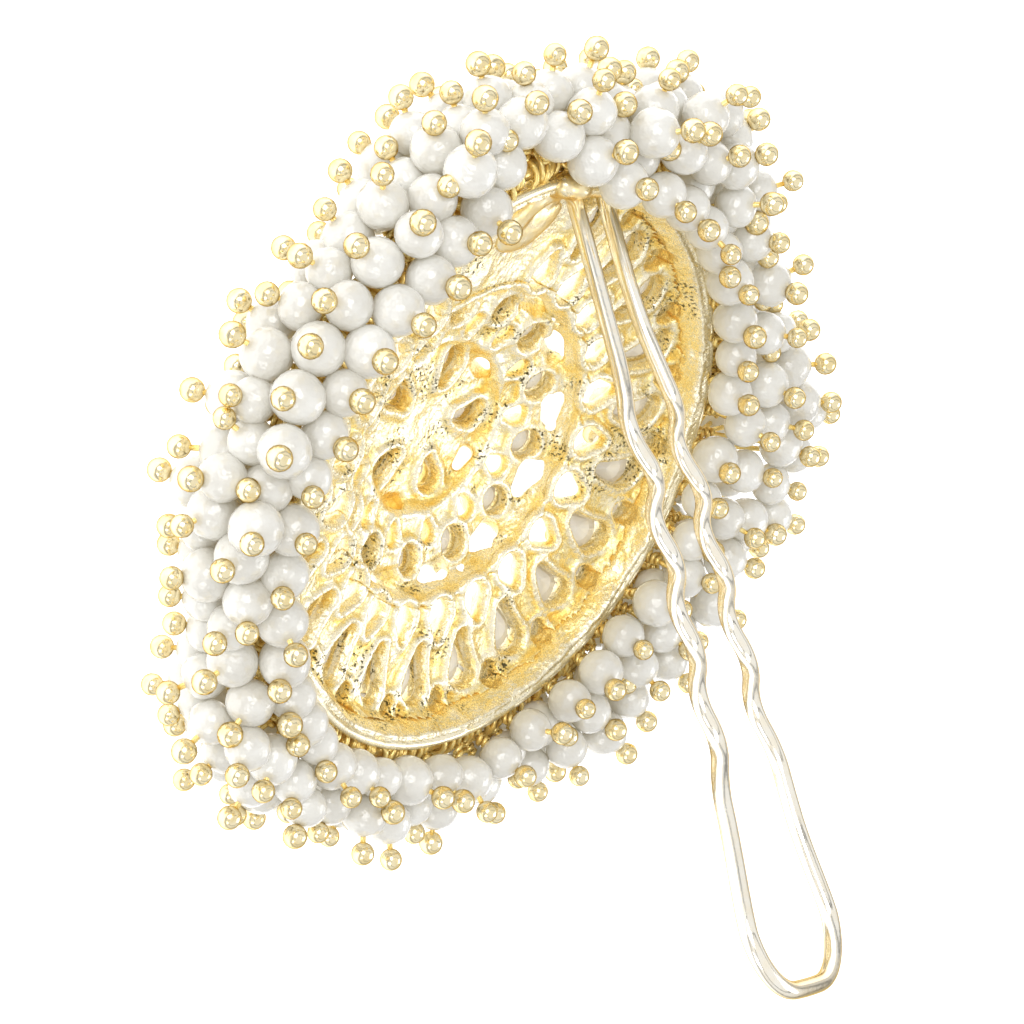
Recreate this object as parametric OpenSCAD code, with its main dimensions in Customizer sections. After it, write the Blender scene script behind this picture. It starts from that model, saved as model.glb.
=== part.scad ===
// Hair bun pin: a pierced, three-tier cast dome with set stones, a bushy fringe of
// pearls on ball-head pins round its rim, and a wavy wire hairpin soldered inside it.
// It lies face down, as it would on a table: +Z is the hair side, and the hairpin is
// soldered at the +Y end. The origin is under the middle of the dome, on the table.

/* [Casting] */
// Radius to the middle of the polished lip
rim_r = 26; // [24:0.5:27]
// Thickness of the skirt
skirt_t = 1.2; // [1:0.1:1.3]
// Thickness of each pierced tier
tier_t = 2; // [1.9:0.1:2.2]
// Depth of the skirt's foot below the rim
skirt_drop = 3.5; // [3.3:0.1:3.8]
// Radius of the first step
step_r = 14.8; // [14.6:0.1:15]
// Depth of the first step's upper edge below the rim
step_drop = 5.4; // [5.2:0.1:5.6]
// Radius of the second step
hub_r = 8.2; // [8.1:0.1:8.4]
// Depth of the second step's upper edge below the rim
hub_drop = 9.5; // [9.3:0.1:9.6]
// Depth of the middle of the dome below the rim
crown_drop = 11; // [10.9:0.05:11.1]

/* [Openings and stones] */
// Petals in the outer tier
outer_count = 22; // [20:1:22]
// Petals in the middle tier
middle_count = 13; // [12:1:13]
// Petals round the middle stone
hub_count = 5; // [4:1:5]
// How far a stone's edge overlaps the opening behind it
ledge = 0.35; // [0.3:0.05:0.4]
// Gap between a stone and its seat
stone_gap = 0.12; // [0.1:0.01:0.14]
// Wall of a raised setting
bezel_t = 0.5; // [0.4:0.05:0.55]

/* [Fringe] */
// Diameter of a pearl
pearl_d = 4.2; // [4:0.1:4.3]
// Diameter of the hole drilled in a pearl
bore_d = 0.8; // [0.7:0.05:0.9]
// Diameter of a pin's ball head
ball_d = 1.9; // [1.7:0.1:2]
// Diameter of a pin's wire
stem_d = 0.5; // [0.4:0.05:0.55]
// Thickness of the bundle of wire loops under the lip
bundle_d = 2.2; // [2.1:0.05:2.3]

/* [Hairpin] */
// Diameter of the hairpin's wire
wire_d = 1.45; // [1.35:0.05:1.55]
// Height of the hairpin over the dome, in degrees
rise = 45; // [44:1:46]
// Lean of the hairpin to one side, in degrees
lean = 3.3; // [3:0.1:4]
// Whole length of the hairpin along its middle line
pin_l = 68.2; // [66:0.2:70]
// Half the width of the closed end
bow_half_w = 7.8; // [7.2:0.1:8.2]
// Radius of the closed end's two corners
bow_r = 4.8; // [4.2:0.1:5.4]
// Height of the waves to either side
wave_h = 1; // [0.8:0.05:1.1]

/* [Hidden] */
$fn = 48;
over = 4;

gold = [0.93, 0.78, 0.42];
champagne = [0.90, 0.84, 0.70];
crystal = [0.93, 0.93, 0.92];
ivory = [0.96, 0.94, 0.90];

// The fringe springs from a ring of wire loops, just outside the skirt and under the lip. The
// ring is gathered in sections, which meet between two pins
ring_r = rim_r + 1.4;
ring_drop = 2;
ball_gap = 0.1;
stem_start = bundle_d / 2 - 0.3;
section_count = 10;
section_start = 3;
section_gap = 0.4;
function ball_reach(pearl_reach) = pearl_reach + pearl_d / 2 + ball_gap + ball_d / 2;

// Rows of pearls: angle above the level of the ring, number, first azimuth, and distance of
// the pearls from the middle of the ring. Each row stands in the gaps of the one before it.
// The bundle has one flat side for each row, so that every pin leaves it squarely
ROW_RISE = 0;
ROW_COUNT = 1;
ROW_START = 2;
ROW_REACH = 3;
BUNDLE_SIDES = 12;
row_step = 360 / BUNDLE_SIDES;
lowest_rise = -80;
lowest_reach = 8.4;
row_count = 30;
half_step = 180 / row_count;
front_rows = [
    [lowest_rise, row_count, half_step, lowest_reach],
    [lowest_rise + row_step, row_count, 0, 7.4],
    [lowest_rise + 2 * row_step, row_count, half_step, 7.1]
];
back_rows = [
    [lowest_rise + 3 * row_step, row_count, 0, 7.4],
    [lowest_rise + 4 * row_step, row_count, half_step, 7.6],
    [lowest_rise + 5 * row_step, row_count, 0, 5.4]
];

// The lowest ball heads stand on the table
rim_z = ring_drop - ball_reach(lowest_reach) * sin(lowest_rise) + ball_d / 2;

// Hair-side face of the casting, as radius and depth below the rim
lip_w = 1.3;
foot_r = rim_r - 1.7;
step_foot_r = step_r - 0.8;
step_foot_drop = step_drop + 2.4;
hub_foot_r = hub_r - 0.8;
hub_foot_drop = hub_drop + 1.2;
outer_tilt = atan2(step_drop - skirt_drop, foot_r - step_r);
middle_tilt = atan2(hub_drop - step_foot_drop, step_foot_r - hub_r);
hub_tilt = atan2(crown_drop - hub_foot_drop, hub_foot_r);

function outer_face_z(r) = rim_z - step_drop + (r - step_r) * tan(outer_tilt);
function middle_face_z(r) = rim_z - hub_drop + (r - hub_r) * tan(middle_tilt);
function hub_face_z(r) = rim_z - crown_drop + r * tan(hub_tilt);

// Azimuths of the first petal of each tier
outer_start = 334;
middle_start = 340;
hub_start = 21;
outer_step = 360 / outer_count;
middle_step = 360 / middle_count;
hub_step = 360 / hub_count;

// Drop shapes: radius of the round end, radius of the tip, distance between their centres,
// and radius on the dome of the middle of the drop
BIG = 0;
TIP = 1;
SPAN = 2;
AT = 3;
petal = [1.45, 0.55, 3.4, 20.8];
edge_stone = [0.9, 0.6, 0.5, 23.8];
web_gap = [1.2, 0.25, 2.1, 17.2];
middle_petal = [1.2, 1.05, 0.4, 12];
step_window = [0.8, 0.55, 1.7, 13.8];
middle_gap = [0.75, 0.3, 1.1, 9.8];
hub_petal = [1.15, 0.5, 1.9, 5.1];
hub_window = [0.7, 0.5, 1.2, 7.6];
hub_stone = [1.05, 1.05, 0.05, 0];

// Solder pad between two petals, on the outer tier's hair side
pad_azimuth = 115;
pad_r = 4.3;
pad_at = 20.7;

function azimuths(start, step, count) = [for (i = [0:count - 1]) start + i * step];
function off_pad(a) = abs((a - pad_azimuth + 540) % 360 - 180);
outer_petals = [for (a = azimuths(outer_start, outer_step, outer_count)) if (off_pad(a) > 14) a];
outer_halves = [
    for (a = azimuths(outer_start + outer_step / 2, outer_step, outer_count)) if (off_pad(a) > 16) a
];
middle_petals = azimuths(middle_start, middle_step, middle_count);
middle_halves = azimuths(middle_start + middle_step / 2, middle_step, middle_count);
hub_petals = azimuths(hub_start, hub_step, hub_count);
hub_halves = azimuths(hub_start + hub_step / 2, hub_step, hub_count);

// Outline of a drop, round end outwards, with every side moved out by grow
function drop(shape, grow = 0, steps = 4) =
    let (
        big = shape[BIG] + grow,
        tip = shape[TIP] + grow,
        span = shape[SPAN],
        turn = acos((big - tip) / span)
    ) concat(
        [for (i = [0:2 * steps]) let (a = 180 + turn + i * (360 - 2 * turn) / (2 * steps))
            [span / 2 + big * cos(a), big * sin(a)]],
        [for (i = [0:steps - 1]) let (a = 180 - turn + i * 2 * turn / (steps - 1))
            [-span / 2 + tip * cos(a), tip * sin(a)]]
    );

// Places children at a drop on a tier: X points outwards along it and Z out of its hair side
module on_tier(azimuth, r, z, tilt) {
    rotate([0, 0, azimuth])
        translate([r, 0, z])
            rotate([0, -tilt, 0])
                children();
}

// Hole right through a tier
module hole(shape, flip = false) {
    translate([0, 0, -tier_t - over])
        linear_extrude(tier_t + over + over)
            rotate([0, 0, flip ? 180 : 0])
                polygon(drop(shape));
}

// Hole with a wider seat for a stone, cut from the face side
seat_depth = tier_t * 0.5;
module seat(shape) {
    translate([0, 0, -tier_t - over])
        linear_extrude(over + seat_depth)
            polygon(drop(shape, ledge + stone_gap));
}

// Raised setting round a stone's seat
bezel_h = 0.5;
module bezel(shape) {
    translate([0, 0, -tier_t - bezel_h])
        linear_extrude(bezel_h + tier_t / 2)
            polygon(drop(shape, ledge + stone_gap + bezel_t));
}

// Stone with a table on the face side and a point on the hair side
module stone(shape) {
    outline = drop(shape, ledge);
    n = len(outline);
    table_scale = 0.62;
    table_z = -tier_t - bezel_h - 0.3;
    girdle_low = -tier_t - 0.1;
    girdle_high = -tier_t + 0.2;
    point_z = -tier_t + 1.35;
    points = concat(
        [for (p = outline) [p[0] * table_scale, p[1] * table_scale, table_z]],
        [for (p = outline) [p[0], p[1], girdle_low]],
        [for (p = outline) [p[0], p[1], girdle_high]],
        [[0, 0, point_z]]
    );
    faces = concat(
        [[for (i = [0:n - 1]) i]],
        [for (i = [0:n - 1]) [n + i, n + (i + 1) % n, (i + 1) % n]],
        [for (i = [0:n - 1]) [n + i, (i + 1) % n, i]],
        [for (i = [0:n - 1]) [2 * n + i, 2 * n + (i + 1) % n, n + (i + 1) % n]],
        [for (i = [0:n - 1]) [2 * n + i, n + (i + 1) % n, n + i]],
        [for (i = [0:n - 1]) [2 * n + i, 3 * n, 2 * n + (i + 1) % n]]
    );
    polyhedron(points, faces, convexity = 4);
}

// Section of the casting: hair side from the lip to the middle, then back along the face side
module casting_section() {
    face_step_r = step_r + 1.4;
    face_hub_r = hub_r + 1.3;
    face_foot_r = foot_r + skirt_t;
    polygon([
        [rim_r + lip_w / 2, rim_z],
        [rim_r - lip_w / 2, rim_z],
        [foot_r, rim_z - skirt_drop],
        [step_r, rim_z - step_drop],
        [step_foot_r, rim_z - step_foot_drop],
        [hub_r, rim_z - hub_drop],
        [hub_foot_r, rim_z - hub_foot_drop],
        [0, rim_z - crown_drop],
        [0, rim_z - crown_drop - tier_t],
        [hub_foot_r + 1, hub_face_z(hub_foot_r + 1) - tier_t],
        [face_hub_r, middle_face_z(face_hub_r) - tier_t],
        [step_foot_r + 1.1, middle_face_z(step_foot_r + 1.1) - tier_t],
        [face_step_r, outer_face_z(face_step_r) - tier_t],
        [face_foot_r - 0.8, outer_face_z(face_foot_r - 0.8) - tier_t],
        [face_foot_r, rim_z - skirt_drop - 0.6],
        [rim_r + lip_w / 2 - 0.3, rim_z - 1],
        [rim_r + lip_w / 2, rim_z - 0.8]
    ]);
}

module openings() {
    for (a = outer_petals)
        on_tier(a, petal[AT], outer_face_z(petal[AT]), outer_tilt) {
            hole(petal);
            seat(petal);
        }
    for (a = outer_halves) {
        on_tier(a, edge_stone[AT], outer_face_z(edge_stone[AT]), outer_tilt) {
            hole(edge_stone);
            seat(edge_stone);
        }
        on_tier(a, web_gap[AT], outer_face_z(web_gap[AT]), outer_tilt)
            hole(web_gap, flip = true);
    }
    for (a = middle_petals)
        on_tier(a, middle_petal[AT], middle_face_z(middle_petal[AT]), middle_tilt) {
            hole(middle_petal);
            seat(middle_petal);
        }
    for (a = middle_halves)
        on_tier(a, middle_gap[AT], middle_face_z(middle_gap[AT]), middle_tilt)
            hole(middle_gap);
    for (a = hub_petals)
        on_tier(a, hub_petal[AT], hub_face_z(hub_petal[AT]), hub_tilt) {
            hole(hub_petal);
            seat(hub_petal);
        }
    on_tier(0, 0, hub_face_z(0), 0) {
        hole(hub_stone);
        seat(hub_stone);
    }
}

// Windows low in the two step walls, cut slanting outwards to the face side
window_slope = 40;
module windows() {
    for (a = middle_halves)
        on_tier(a, step_window[AT], middle_face_z(step_window[AT]), 0)
            window(step_window);
    for (a = hub_halves)
        on_tier(a, hub_window[AT], hub_face_z(hub_window[AT]), 0)
            window(hub_window);
}

module window(shape) {
    window_l = 5;
    rotate([0, 90 + window_slope, 0])
        translate([0, 0, -1.2])
            linear_extrude(window_l)
                rotate([0, 0, 90])
                    polygon(drop(shape));
}

module settings() {
    for (a = outer_petals)
        on_tier(a, petal[AT], outer_face_z(petal[AT]), outer_tilt)
            bezel(petal);
    for (a = middle_petals)
        on_tier(a, middle_petal[AT], middle_face_z(middle_petal[AT]), middle_tilt)
            bezel(middle_petal);
    for (a = hub_petals)
        on_tier(a, hub_petal[AT], hub_face_z(hub_petal[AT]), hub_tilt)
            bezel(hub_petal);
    on_tier(0, 0, hub_face_z(0), 0)
        bezel(hub_stone);
}

// Smooth pad of solder that the hairpin's two ends lie on
module solder_pad() {
    pad_h = 1.1;
    on_tier(pad_azimuth, pad_at, outer_face_z(pad_at), outer_tilt)
        translate([0, 0, -tier_t / 2])
            cylinder(h = tier_t / 2 + pad_h, r = pad_r);
}

// Hairpin in its own plane: X across it and Y along it, from the solder to the closed end.
// Corners of each leg before its waves, and half widths at the first and the last wave and
// where the leg flares to the closed end
LEFT_START = [[-2.9, 0], [-2.9, 10], [-3, 17.5]];
RIGHT_START = [[3, -1.5], [3, 10], [4.7, 15.2], [6, 18.7]];
LEFT_HALF_W = [2.8, 4.7, 6.2];
RIGHT_HALF_W = [5.1, 5.1, 6.3];
wave_start = 22.2;
wave_l = 7.5;
wave_count = 4;
flare_start = wave_start + wave_count * wave_l;
flare_l = 3.6;
bow_skew = 0.9;
bow_steps = 4;
bend_l = 1.8;

// Corner points of one leg, bent from side to side at each wave. Smoothing halves the waves
function leg(side, start, half_w) = concat(
    [start[0], start[0] + [0, bend_l]],
    [for (i = [1:len(start) - 1]) start[i]],
    [
        for (i = [0:2 * wave_count - 1])
            let (
                share = i / (2 * wave_count - 1),
                height = 2 * wave_h * (1 - 0.4 * share),
                shift = i % 2 == 0 ? -height : height
            )
            [side * (half_w[0] + share * (half_w[1] - half_w[0])) + shift, wave_start + i * wave_l / 2]
    ],
    [[side * (half_w[1] + 1.1), flare_start]],
    [[side * half_w[2], flare_start + flare_l]]
);

// Round corner of the closed end, from the leg's side to the bottom
function bow_corner(side) = [
    for (i = [0:bow_steps])
        let (a = 90 * i / bow_steps)
        [
            side * (bow_half_w - bow_r + bow_r * cos(a)),
            pin_l - bow_r - side * bow_skew + bow_r * sin(a)
        ]
];
function reversed(path) = [for (i = [len(path) - 1:-1:0]) path[i]];
pin_path = concat(
    leg(-1, LEFT_START, LEFT_HALF_W), bow_corner(-1),
    reversed(bow_corner(1)), reversed(leg(1, RIGHT_START, RIGHT_HALF_W))
);

// Where the hairpin leaves the casting, and a point of its plane in the part's own frame
root = [-5, 23.7, rim_z - 2];
function from_pin(p) =
    let (
        across = p[0] * cos(lean) + p[1] * sin(lean),
        along = -p[0] * sin(lean) + p[1] * cos(lean)
    ) root + [across, -along * cos(rise), along * sin(rise)];
pin_normal = [0, sin(rise), cos(rise)];

// Far ends of the two short arms that are soldered to the pad
left_arm_end = [-10.2, 18, rim_z - 4.1];
right_arm_end = [-7.2, 19.4, rim_z - 4.1];
function unit(v) = v / norm(v);
function bend_towards(foot, arm_end) = foot + bend_l * unit(arm_end - foot);
left_foot = from_pin(LEFT_START[0]);
right_foot = from_pin(RIGHT_START[0]);
hairpin_corners = concat(
    [left_arm_end, bend_towards(left_foot, left_arm_end)],
    [for (p = pin_path) from_pin(p)],
    [bend_towards(right_foot, right_arm_end), right_arm_end]
);

// Cuts every corner of a path at a quarter of its two sides, which rounds it when repeated
function round_off(path, times) =
    times == 0 ? path : round_off(
        concat(
            [path[0]],
            [for (i = [0:len(path) - 2], share = [0.25, 0.75]) path[i] + share * (path[i + 1] - path[i])],
            [path[len(path) - 1]]
        ),
        times - 1
    );

// Wire swept along a path. Its rings of points keep one corner towards the given side
module wire_along(path, side) {
    sides = 12;
    last = len(path) - 1;
    points = [
        for (i = [0:last])
            let (
                way = unit(path[min(i + 1, last)] - path[max(i - 1, 0)]),
                u = unit(side - (side * way) * way),
                v = cross(way, u)
            )
            for (j = [0:sides - 1])
                path[i] + wire_d / 2 * (u * cos(j * 360 / sides) + v * sin(j * 360 / sides))
    ];
    faces = concat(
        [[for (j = [0:sides - 1]) j]],
        [[for (j = [sides - 1:-1:0]) last * sides + j]],
        [
            for (i = [0:last - 1], j = [0:sides - 1])
                let (k = (j + 1) % sides)
                each [
                    [i * sides + j, (i + 1) * sides + j, (i + 1) * sides + k],
                    [i * sides + j, (i + 1) * sides + k, i * sides + k]
                ]
        ]
    );
    polyhedron(points, faces, convexity = 8);
}

module hairpin() {
    wire_along(round_off(hairpin_corners, 2), pin_normal);
}

module casting_and_hairpin() {
    color(gold) {
        difference() {
            union() {
                rotate_extrude()
                    casting_section();
                settings();
                solder_pad();
            }
            openings();
            windows();
        }
    }
    color(champagne)
        hairpin();
}

module outer_stones() {
    color(crystal) {
        for (a = outer_petals)
            on_tier(a, petal[AT], outer_face_z(petal[AT]), outer_tilt)
                stone(petal);
        for (a = outer_halves)
            on_tier(a, edge_stone[AT], outer_face_z(edge_stone[AT]), outer_tilt)
                stone(edge_stone);
    }
}

module middle_stones() {
    color(crystal)
        for (a = middle_petals)
            on_tier(a, middle_petal[AT], middle_face_z(middle_petal[AT]), middle_tilt)
                stone(middle_petal);
}

module hub_stones() {
    color(crystal) {
        for (a = hub_petals)
            on_tier(a, hub_petal[AT], hub_face_z(hub_petal[AT]), hub_tilt)
                stone(hub_petal);
        on_tier(0, 0, hub_face_z(0), 0)
            stone(hub_stone);
    }
}

// Places children at the middle of each pearl of the given rows, with X pointing along its pin
module at_each_pin(rows) {
    for (row = rows)
        for (a = azimuths(row[ROW_START], 360 / row[ROW_COUNT], row[ROW_COUNT]))
            rotate([0, 0, a])
                translate([ring_r, 0, rim_z - ring_drop])
                    rotate([0, -row[ROW_RISE], 0])
                        translate([row[ROW_REACH], 0, 0])
                            children();
}

module loop_bundles() {
    translate([0, 0, rim_z - ring_drop])
        difference() {
            rotate_extrude()
                translate([ring_r, 0])
                    rotate([0, 0, lowest_rise + row_step / 2])
                        circle(d = bundle_d, $fn = BUNDLE_SIDES);
            for (a = azimuths(section_start, 360 / section_count, section_count))
                rotate([0, 0, a])
                    translate([ring_r - bundle_d, -section_gap / 2, -bundle_d])
                        cube([2 * bundle_d, section_gap, 2 * bundle_d]);
        }
}

module ball_head_pins() {
    color(gold) {
        loop_bundles();
        at_each_pin(concat(back_rows, front_rows))
            translate([pearl_d / 2 + ball_gap + ball_d / 2, 0, 0])
                sphere(d = ball_d);
        for (row = concat(back_rows, front_rows))
            at_each_pin([row])
                translate([stem_start - row[ROW_REACH], 0, 0])
                    rotate([0, 90, 0])
                        cylinder(h = ball_reach(row[ROW_REACH]) - stem_start, d = stem_d);
    }
}

module pearls(rows) {
    color(ivory)
        at_each_pin(rows)
            difference() {
                sphere(d = pearl_d);
                rotate([0, 90, 0])
                    cylinder(h = pearl_d + 1, d = bore_d, center = true);
            }
}

module pearls_back() {
    pearls(back_rows);
}

module pearls_front() {
    pearls(front_rows);
}

casting_and_hairpin();
outer_stones();
middle_stones();
hub_stones();
ball_head_pins();
pearls_back();
pearls_front();
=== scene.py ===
"""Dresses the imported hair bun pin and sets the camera, the floor and the light.

Sizes are in millimetres, measured from the middle of the rim, which is how the real piece
is described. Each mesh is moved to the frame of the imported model, in metres, as it is made.
"""

import logging
import math
from dataclasses import dataclass, field
from enum import Enum

import bpy
import numpy as np
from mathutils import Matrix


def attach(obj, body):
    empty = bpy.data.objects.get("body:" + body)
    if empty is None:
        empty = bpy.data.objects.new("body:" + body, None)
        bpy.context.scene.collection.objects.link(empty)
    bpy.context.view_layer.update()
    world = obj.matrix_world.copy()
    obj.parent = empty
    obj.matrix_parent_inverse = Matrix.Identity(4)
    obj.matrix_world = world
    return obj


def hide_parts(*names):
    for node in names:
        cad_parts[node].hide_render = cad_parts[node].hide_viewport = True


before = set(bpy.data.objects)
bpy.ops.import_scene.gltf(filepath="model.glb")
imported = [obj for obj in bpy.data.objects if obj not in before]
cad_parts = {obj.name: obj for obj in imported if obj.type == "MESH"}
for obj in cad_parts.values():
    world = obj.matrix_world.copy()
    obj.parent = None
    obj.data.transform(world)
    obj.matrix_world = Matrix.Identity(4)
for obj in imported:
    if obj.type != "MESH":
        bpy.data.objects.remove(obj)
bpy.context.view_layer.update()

import openvdb
from mathutils import Matrix, Vector

Array = np.ndarray
Colour = tuple[float, float, float]
Point = tuple[float, float, float]
Shape = tuple[Array, list[list[int]]]
Block = tuple[slice, ...]
Socket = bpy.types.NodeSocket

LOG = logging.getLogger("bun_pin")
ROOT_BODY = "root"
RIM_HEIGHT = 14.3245
MM_PER_METRE = 1000.0
FULL_TURN = 2 * math.pi


def to_metres(points: Array) -> Array:
    """Returns points given in millimetres from the rim as metres in the model's frame."""
    return (np.asarray(points, dtype=float) + (0.0, 0.0, RIM_HEIGHT)) / MM_PER_METRE


def turned(azimuth: float) -> Array:
    """Returns the rotation about Z by an azimuth in degrees."""
    a = math.radians(azimuth)
    return np.array([[math.cos(a), -math.sin(a), 0.0], [math.sin(a), math.cos(a), 0.0], [0.0, 0.0, 1.0]])


def unit(vectors: Array) -> Array:
    """Returns vectors, or one vector, scaled to length one."""
    return vectors / np.linalg.norm(vectors, axis=-1, keepdims=True)


def bump_at(values: Array, middle: float, spread: float) -> Array:
    """Returns a smooth bump that is 1 where the values are at the middle."""
    return np.exp(-(((values - middle) / spread) ** 2))


def soft_min(a: Array, b: Array, k: float) -> Array:
    """Returns the union of two distance fields, rounded over a width k."""
    h = np.clip(0.5 + 0.5 * (b - a) / k, 0.0, 1.0)
    return b + (a - b) * h - k * h * (1 - h)


def soft_max(a: Array, b: Array, k: float) -> Array:
    """Returns the overlap of two distance fields, rounded over a width k."""
    return -soft_min(-a, -b, k)


def bands(rings: int, around: int) -> list[list[int]]:
    """Returns the four-sided faces between closed rings of points.

    Args:
        rings: how many rings follow each other.
        around: how many points each ring has.

    Returns:
        The faces, ring by ring.
    """
    faces = []
    for k in range(rings - 1):
        for i in range(around):
            near, far = k * around + i, k * around + (i + 1) % around
            faces.append([near, far, far + around, near + around])
    return faces


def flipped(faces: list[list[int]]) -> list[list[int]]:
    """Returns the faces turned to their other side, with the same first corners."""
    return [[face[0], *face[:0:-1]] for face in faces]


def joined(shapes: list[Shape]) -> Shape:
    """Returns several shapes as one.

    Args:
        shapes: the points and faces of each shape.

    Returns:
        All points and all faces.
    """
    faces, count = [], 0
    for points, rows in shapes:
        faces += [[count + i for i in row] for row in rows]
        count += len(points)
    return np.vstack([points for points, _ in shapes]), faces


def tube(path: Array, radius: float, sides: int) -> Shape:
    """Returns a closed round tube along a path, with a ring of points at each point of it.

    Args:
        path: the points of the middle line.
        radius: the tube's radius.
        sides: how many sides the tube has.

    Returns:
        The tube's points and faces.
    """
    ways = np.zeros_like(path)
    ways[1:-1] = path[2:] - path[:-2]
    ways[0], ways[-1] = path[1] - path[0], path[-1] - path[-2]
    ways = unit(ways)
    side = np.cross(ways[0], (0.31, 0.52, 0.79))
    angles = np.arange(sides) * FULL_TURN / sides
    rings = []
    for point, way in zip(path, ways):
        side = unit(side - way * np.dot(side, way))
        other = np.cross(way, side)
        rings.append(point + radius * (np.outer(np.cos(angles), side) + np.outer(np.sin(angles), other)))
    end = (len(path) - 1) * sides
    caps = [list(range(sides))[::-1], [end + i for i in range(sides)]]
    return np.vstack(rings), bands(len(path), sides) + caps


def rounded(path: Array, times: int) -> Array:
    """Returns a path with its corners cut at a quarter of each side, so many times.

    Args:
        path: the path's corners.
        times: how many times they are cut.

    Returns:
        The rounded path, with the same two ends.
    """
    for _ in range(times):
        way = path[1:] - path[:-1]
        inner = np.stack([path[:-1] + 0.25 * way, path[:-1] + 0.75 * way], axis=1).reshape(-1, 3)
        path = np.vstack([path[:1], inner, path[-1:]])
    return path


def ball(across: int, down: int) -> Shape:
    """Returns a round ball of radius one, with its poles along X.

    Args:
        across: how many sides it has round its axis.
        down: how many steps it has from pole to pole.

    Returns:
        The ball's points and faces.
    """
    points = [(1.0, 0.0, 0.0)]
    for j in range(1, down):
        a = math.pi * j / down
        for i in range(across):
            b = FULL_TURN * i / across
            points.append((math.cos(a), math.sin(a) * math.cos(b), math.sin(a) * math.sin(b)))
    points.append((-1.0, 0.0, 0.0))
    last = len(points) - 1
    base = last - across
    faces = [[0, 1 + i, 1 + (i + 1) % across] for i in range(across)]
    faces += [[1 + i for i in face] for face in flipped(bands(down - 1, across))]
    faces += [[base + i, last, base + (i + 1) % across] for i in range(across)]
    return np.array(points), faces


def add_mesh(
    name: str,
    shape: tuple[Array, Array | list],
    material: bpy.types.Material,
    attributes: dict[str, Array] | None = None,
    smooth: bool = True,
) -> bpy.types.Object:
    """Makes a piece from points in millimetres and lets it ride on the part.

    Args:
        name: the piece's name.
        shape: one row of coordinates for each point, and one row of point numbers for each face.
        material: what the piece is finished in.
        attributes: numbers kept at each point, by name, for the material to read.
        smooth: whether the faces are shaded as one smooth surface.

    Returns:
        The new object.
    """
    mesh = bpy.data.meshes.new(name)
    points, faces = shape
    rows = faces.tolist() if isinstance(faces, np.ndarray) else faces
    mesh.from_pydata(to_metres(points).tolist(), [], rows)
    mesh.update()
    for key, values in (attributes or {}).items():
        layer = mesh.attributes.new(key, "FLOAT", "POINT")
        layer.data.foreach_set("value", np.asarray(values, dtype=np.float32))
    if smooth:
        mesh.polygons.foreach_set("use_smooth", np.ones(len(mesh.polygons), dtype=bool))
    mesh.materials.append(material)
    piece = bpy.data.objects.new(name, mesh)
    bpy.context.scene.collection.objects.link(piece)
    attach(piece, ROOT_BODY)
    LOG.info("%s: %d vertices, %d faces", name, len(mesh.vertices), len(mesh.polygons))
    return piece


def set_stops(node: bpy.types.ShaderNode, stops: list[tuple[float, Colour]]) -> None:
    """Puts colours on a ramp.

    Args:
        node: the ramp's node.
        stops: positions and their colours, in rising order.
    """
    elements = node.color_ramp.elements
    while len(elements) < len(stops):
        elements.new(0.5)
    for element, (position, colour) in zip(elements, stops):
        element.position = position
        element.color = (*colour, 1.0)


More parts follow.
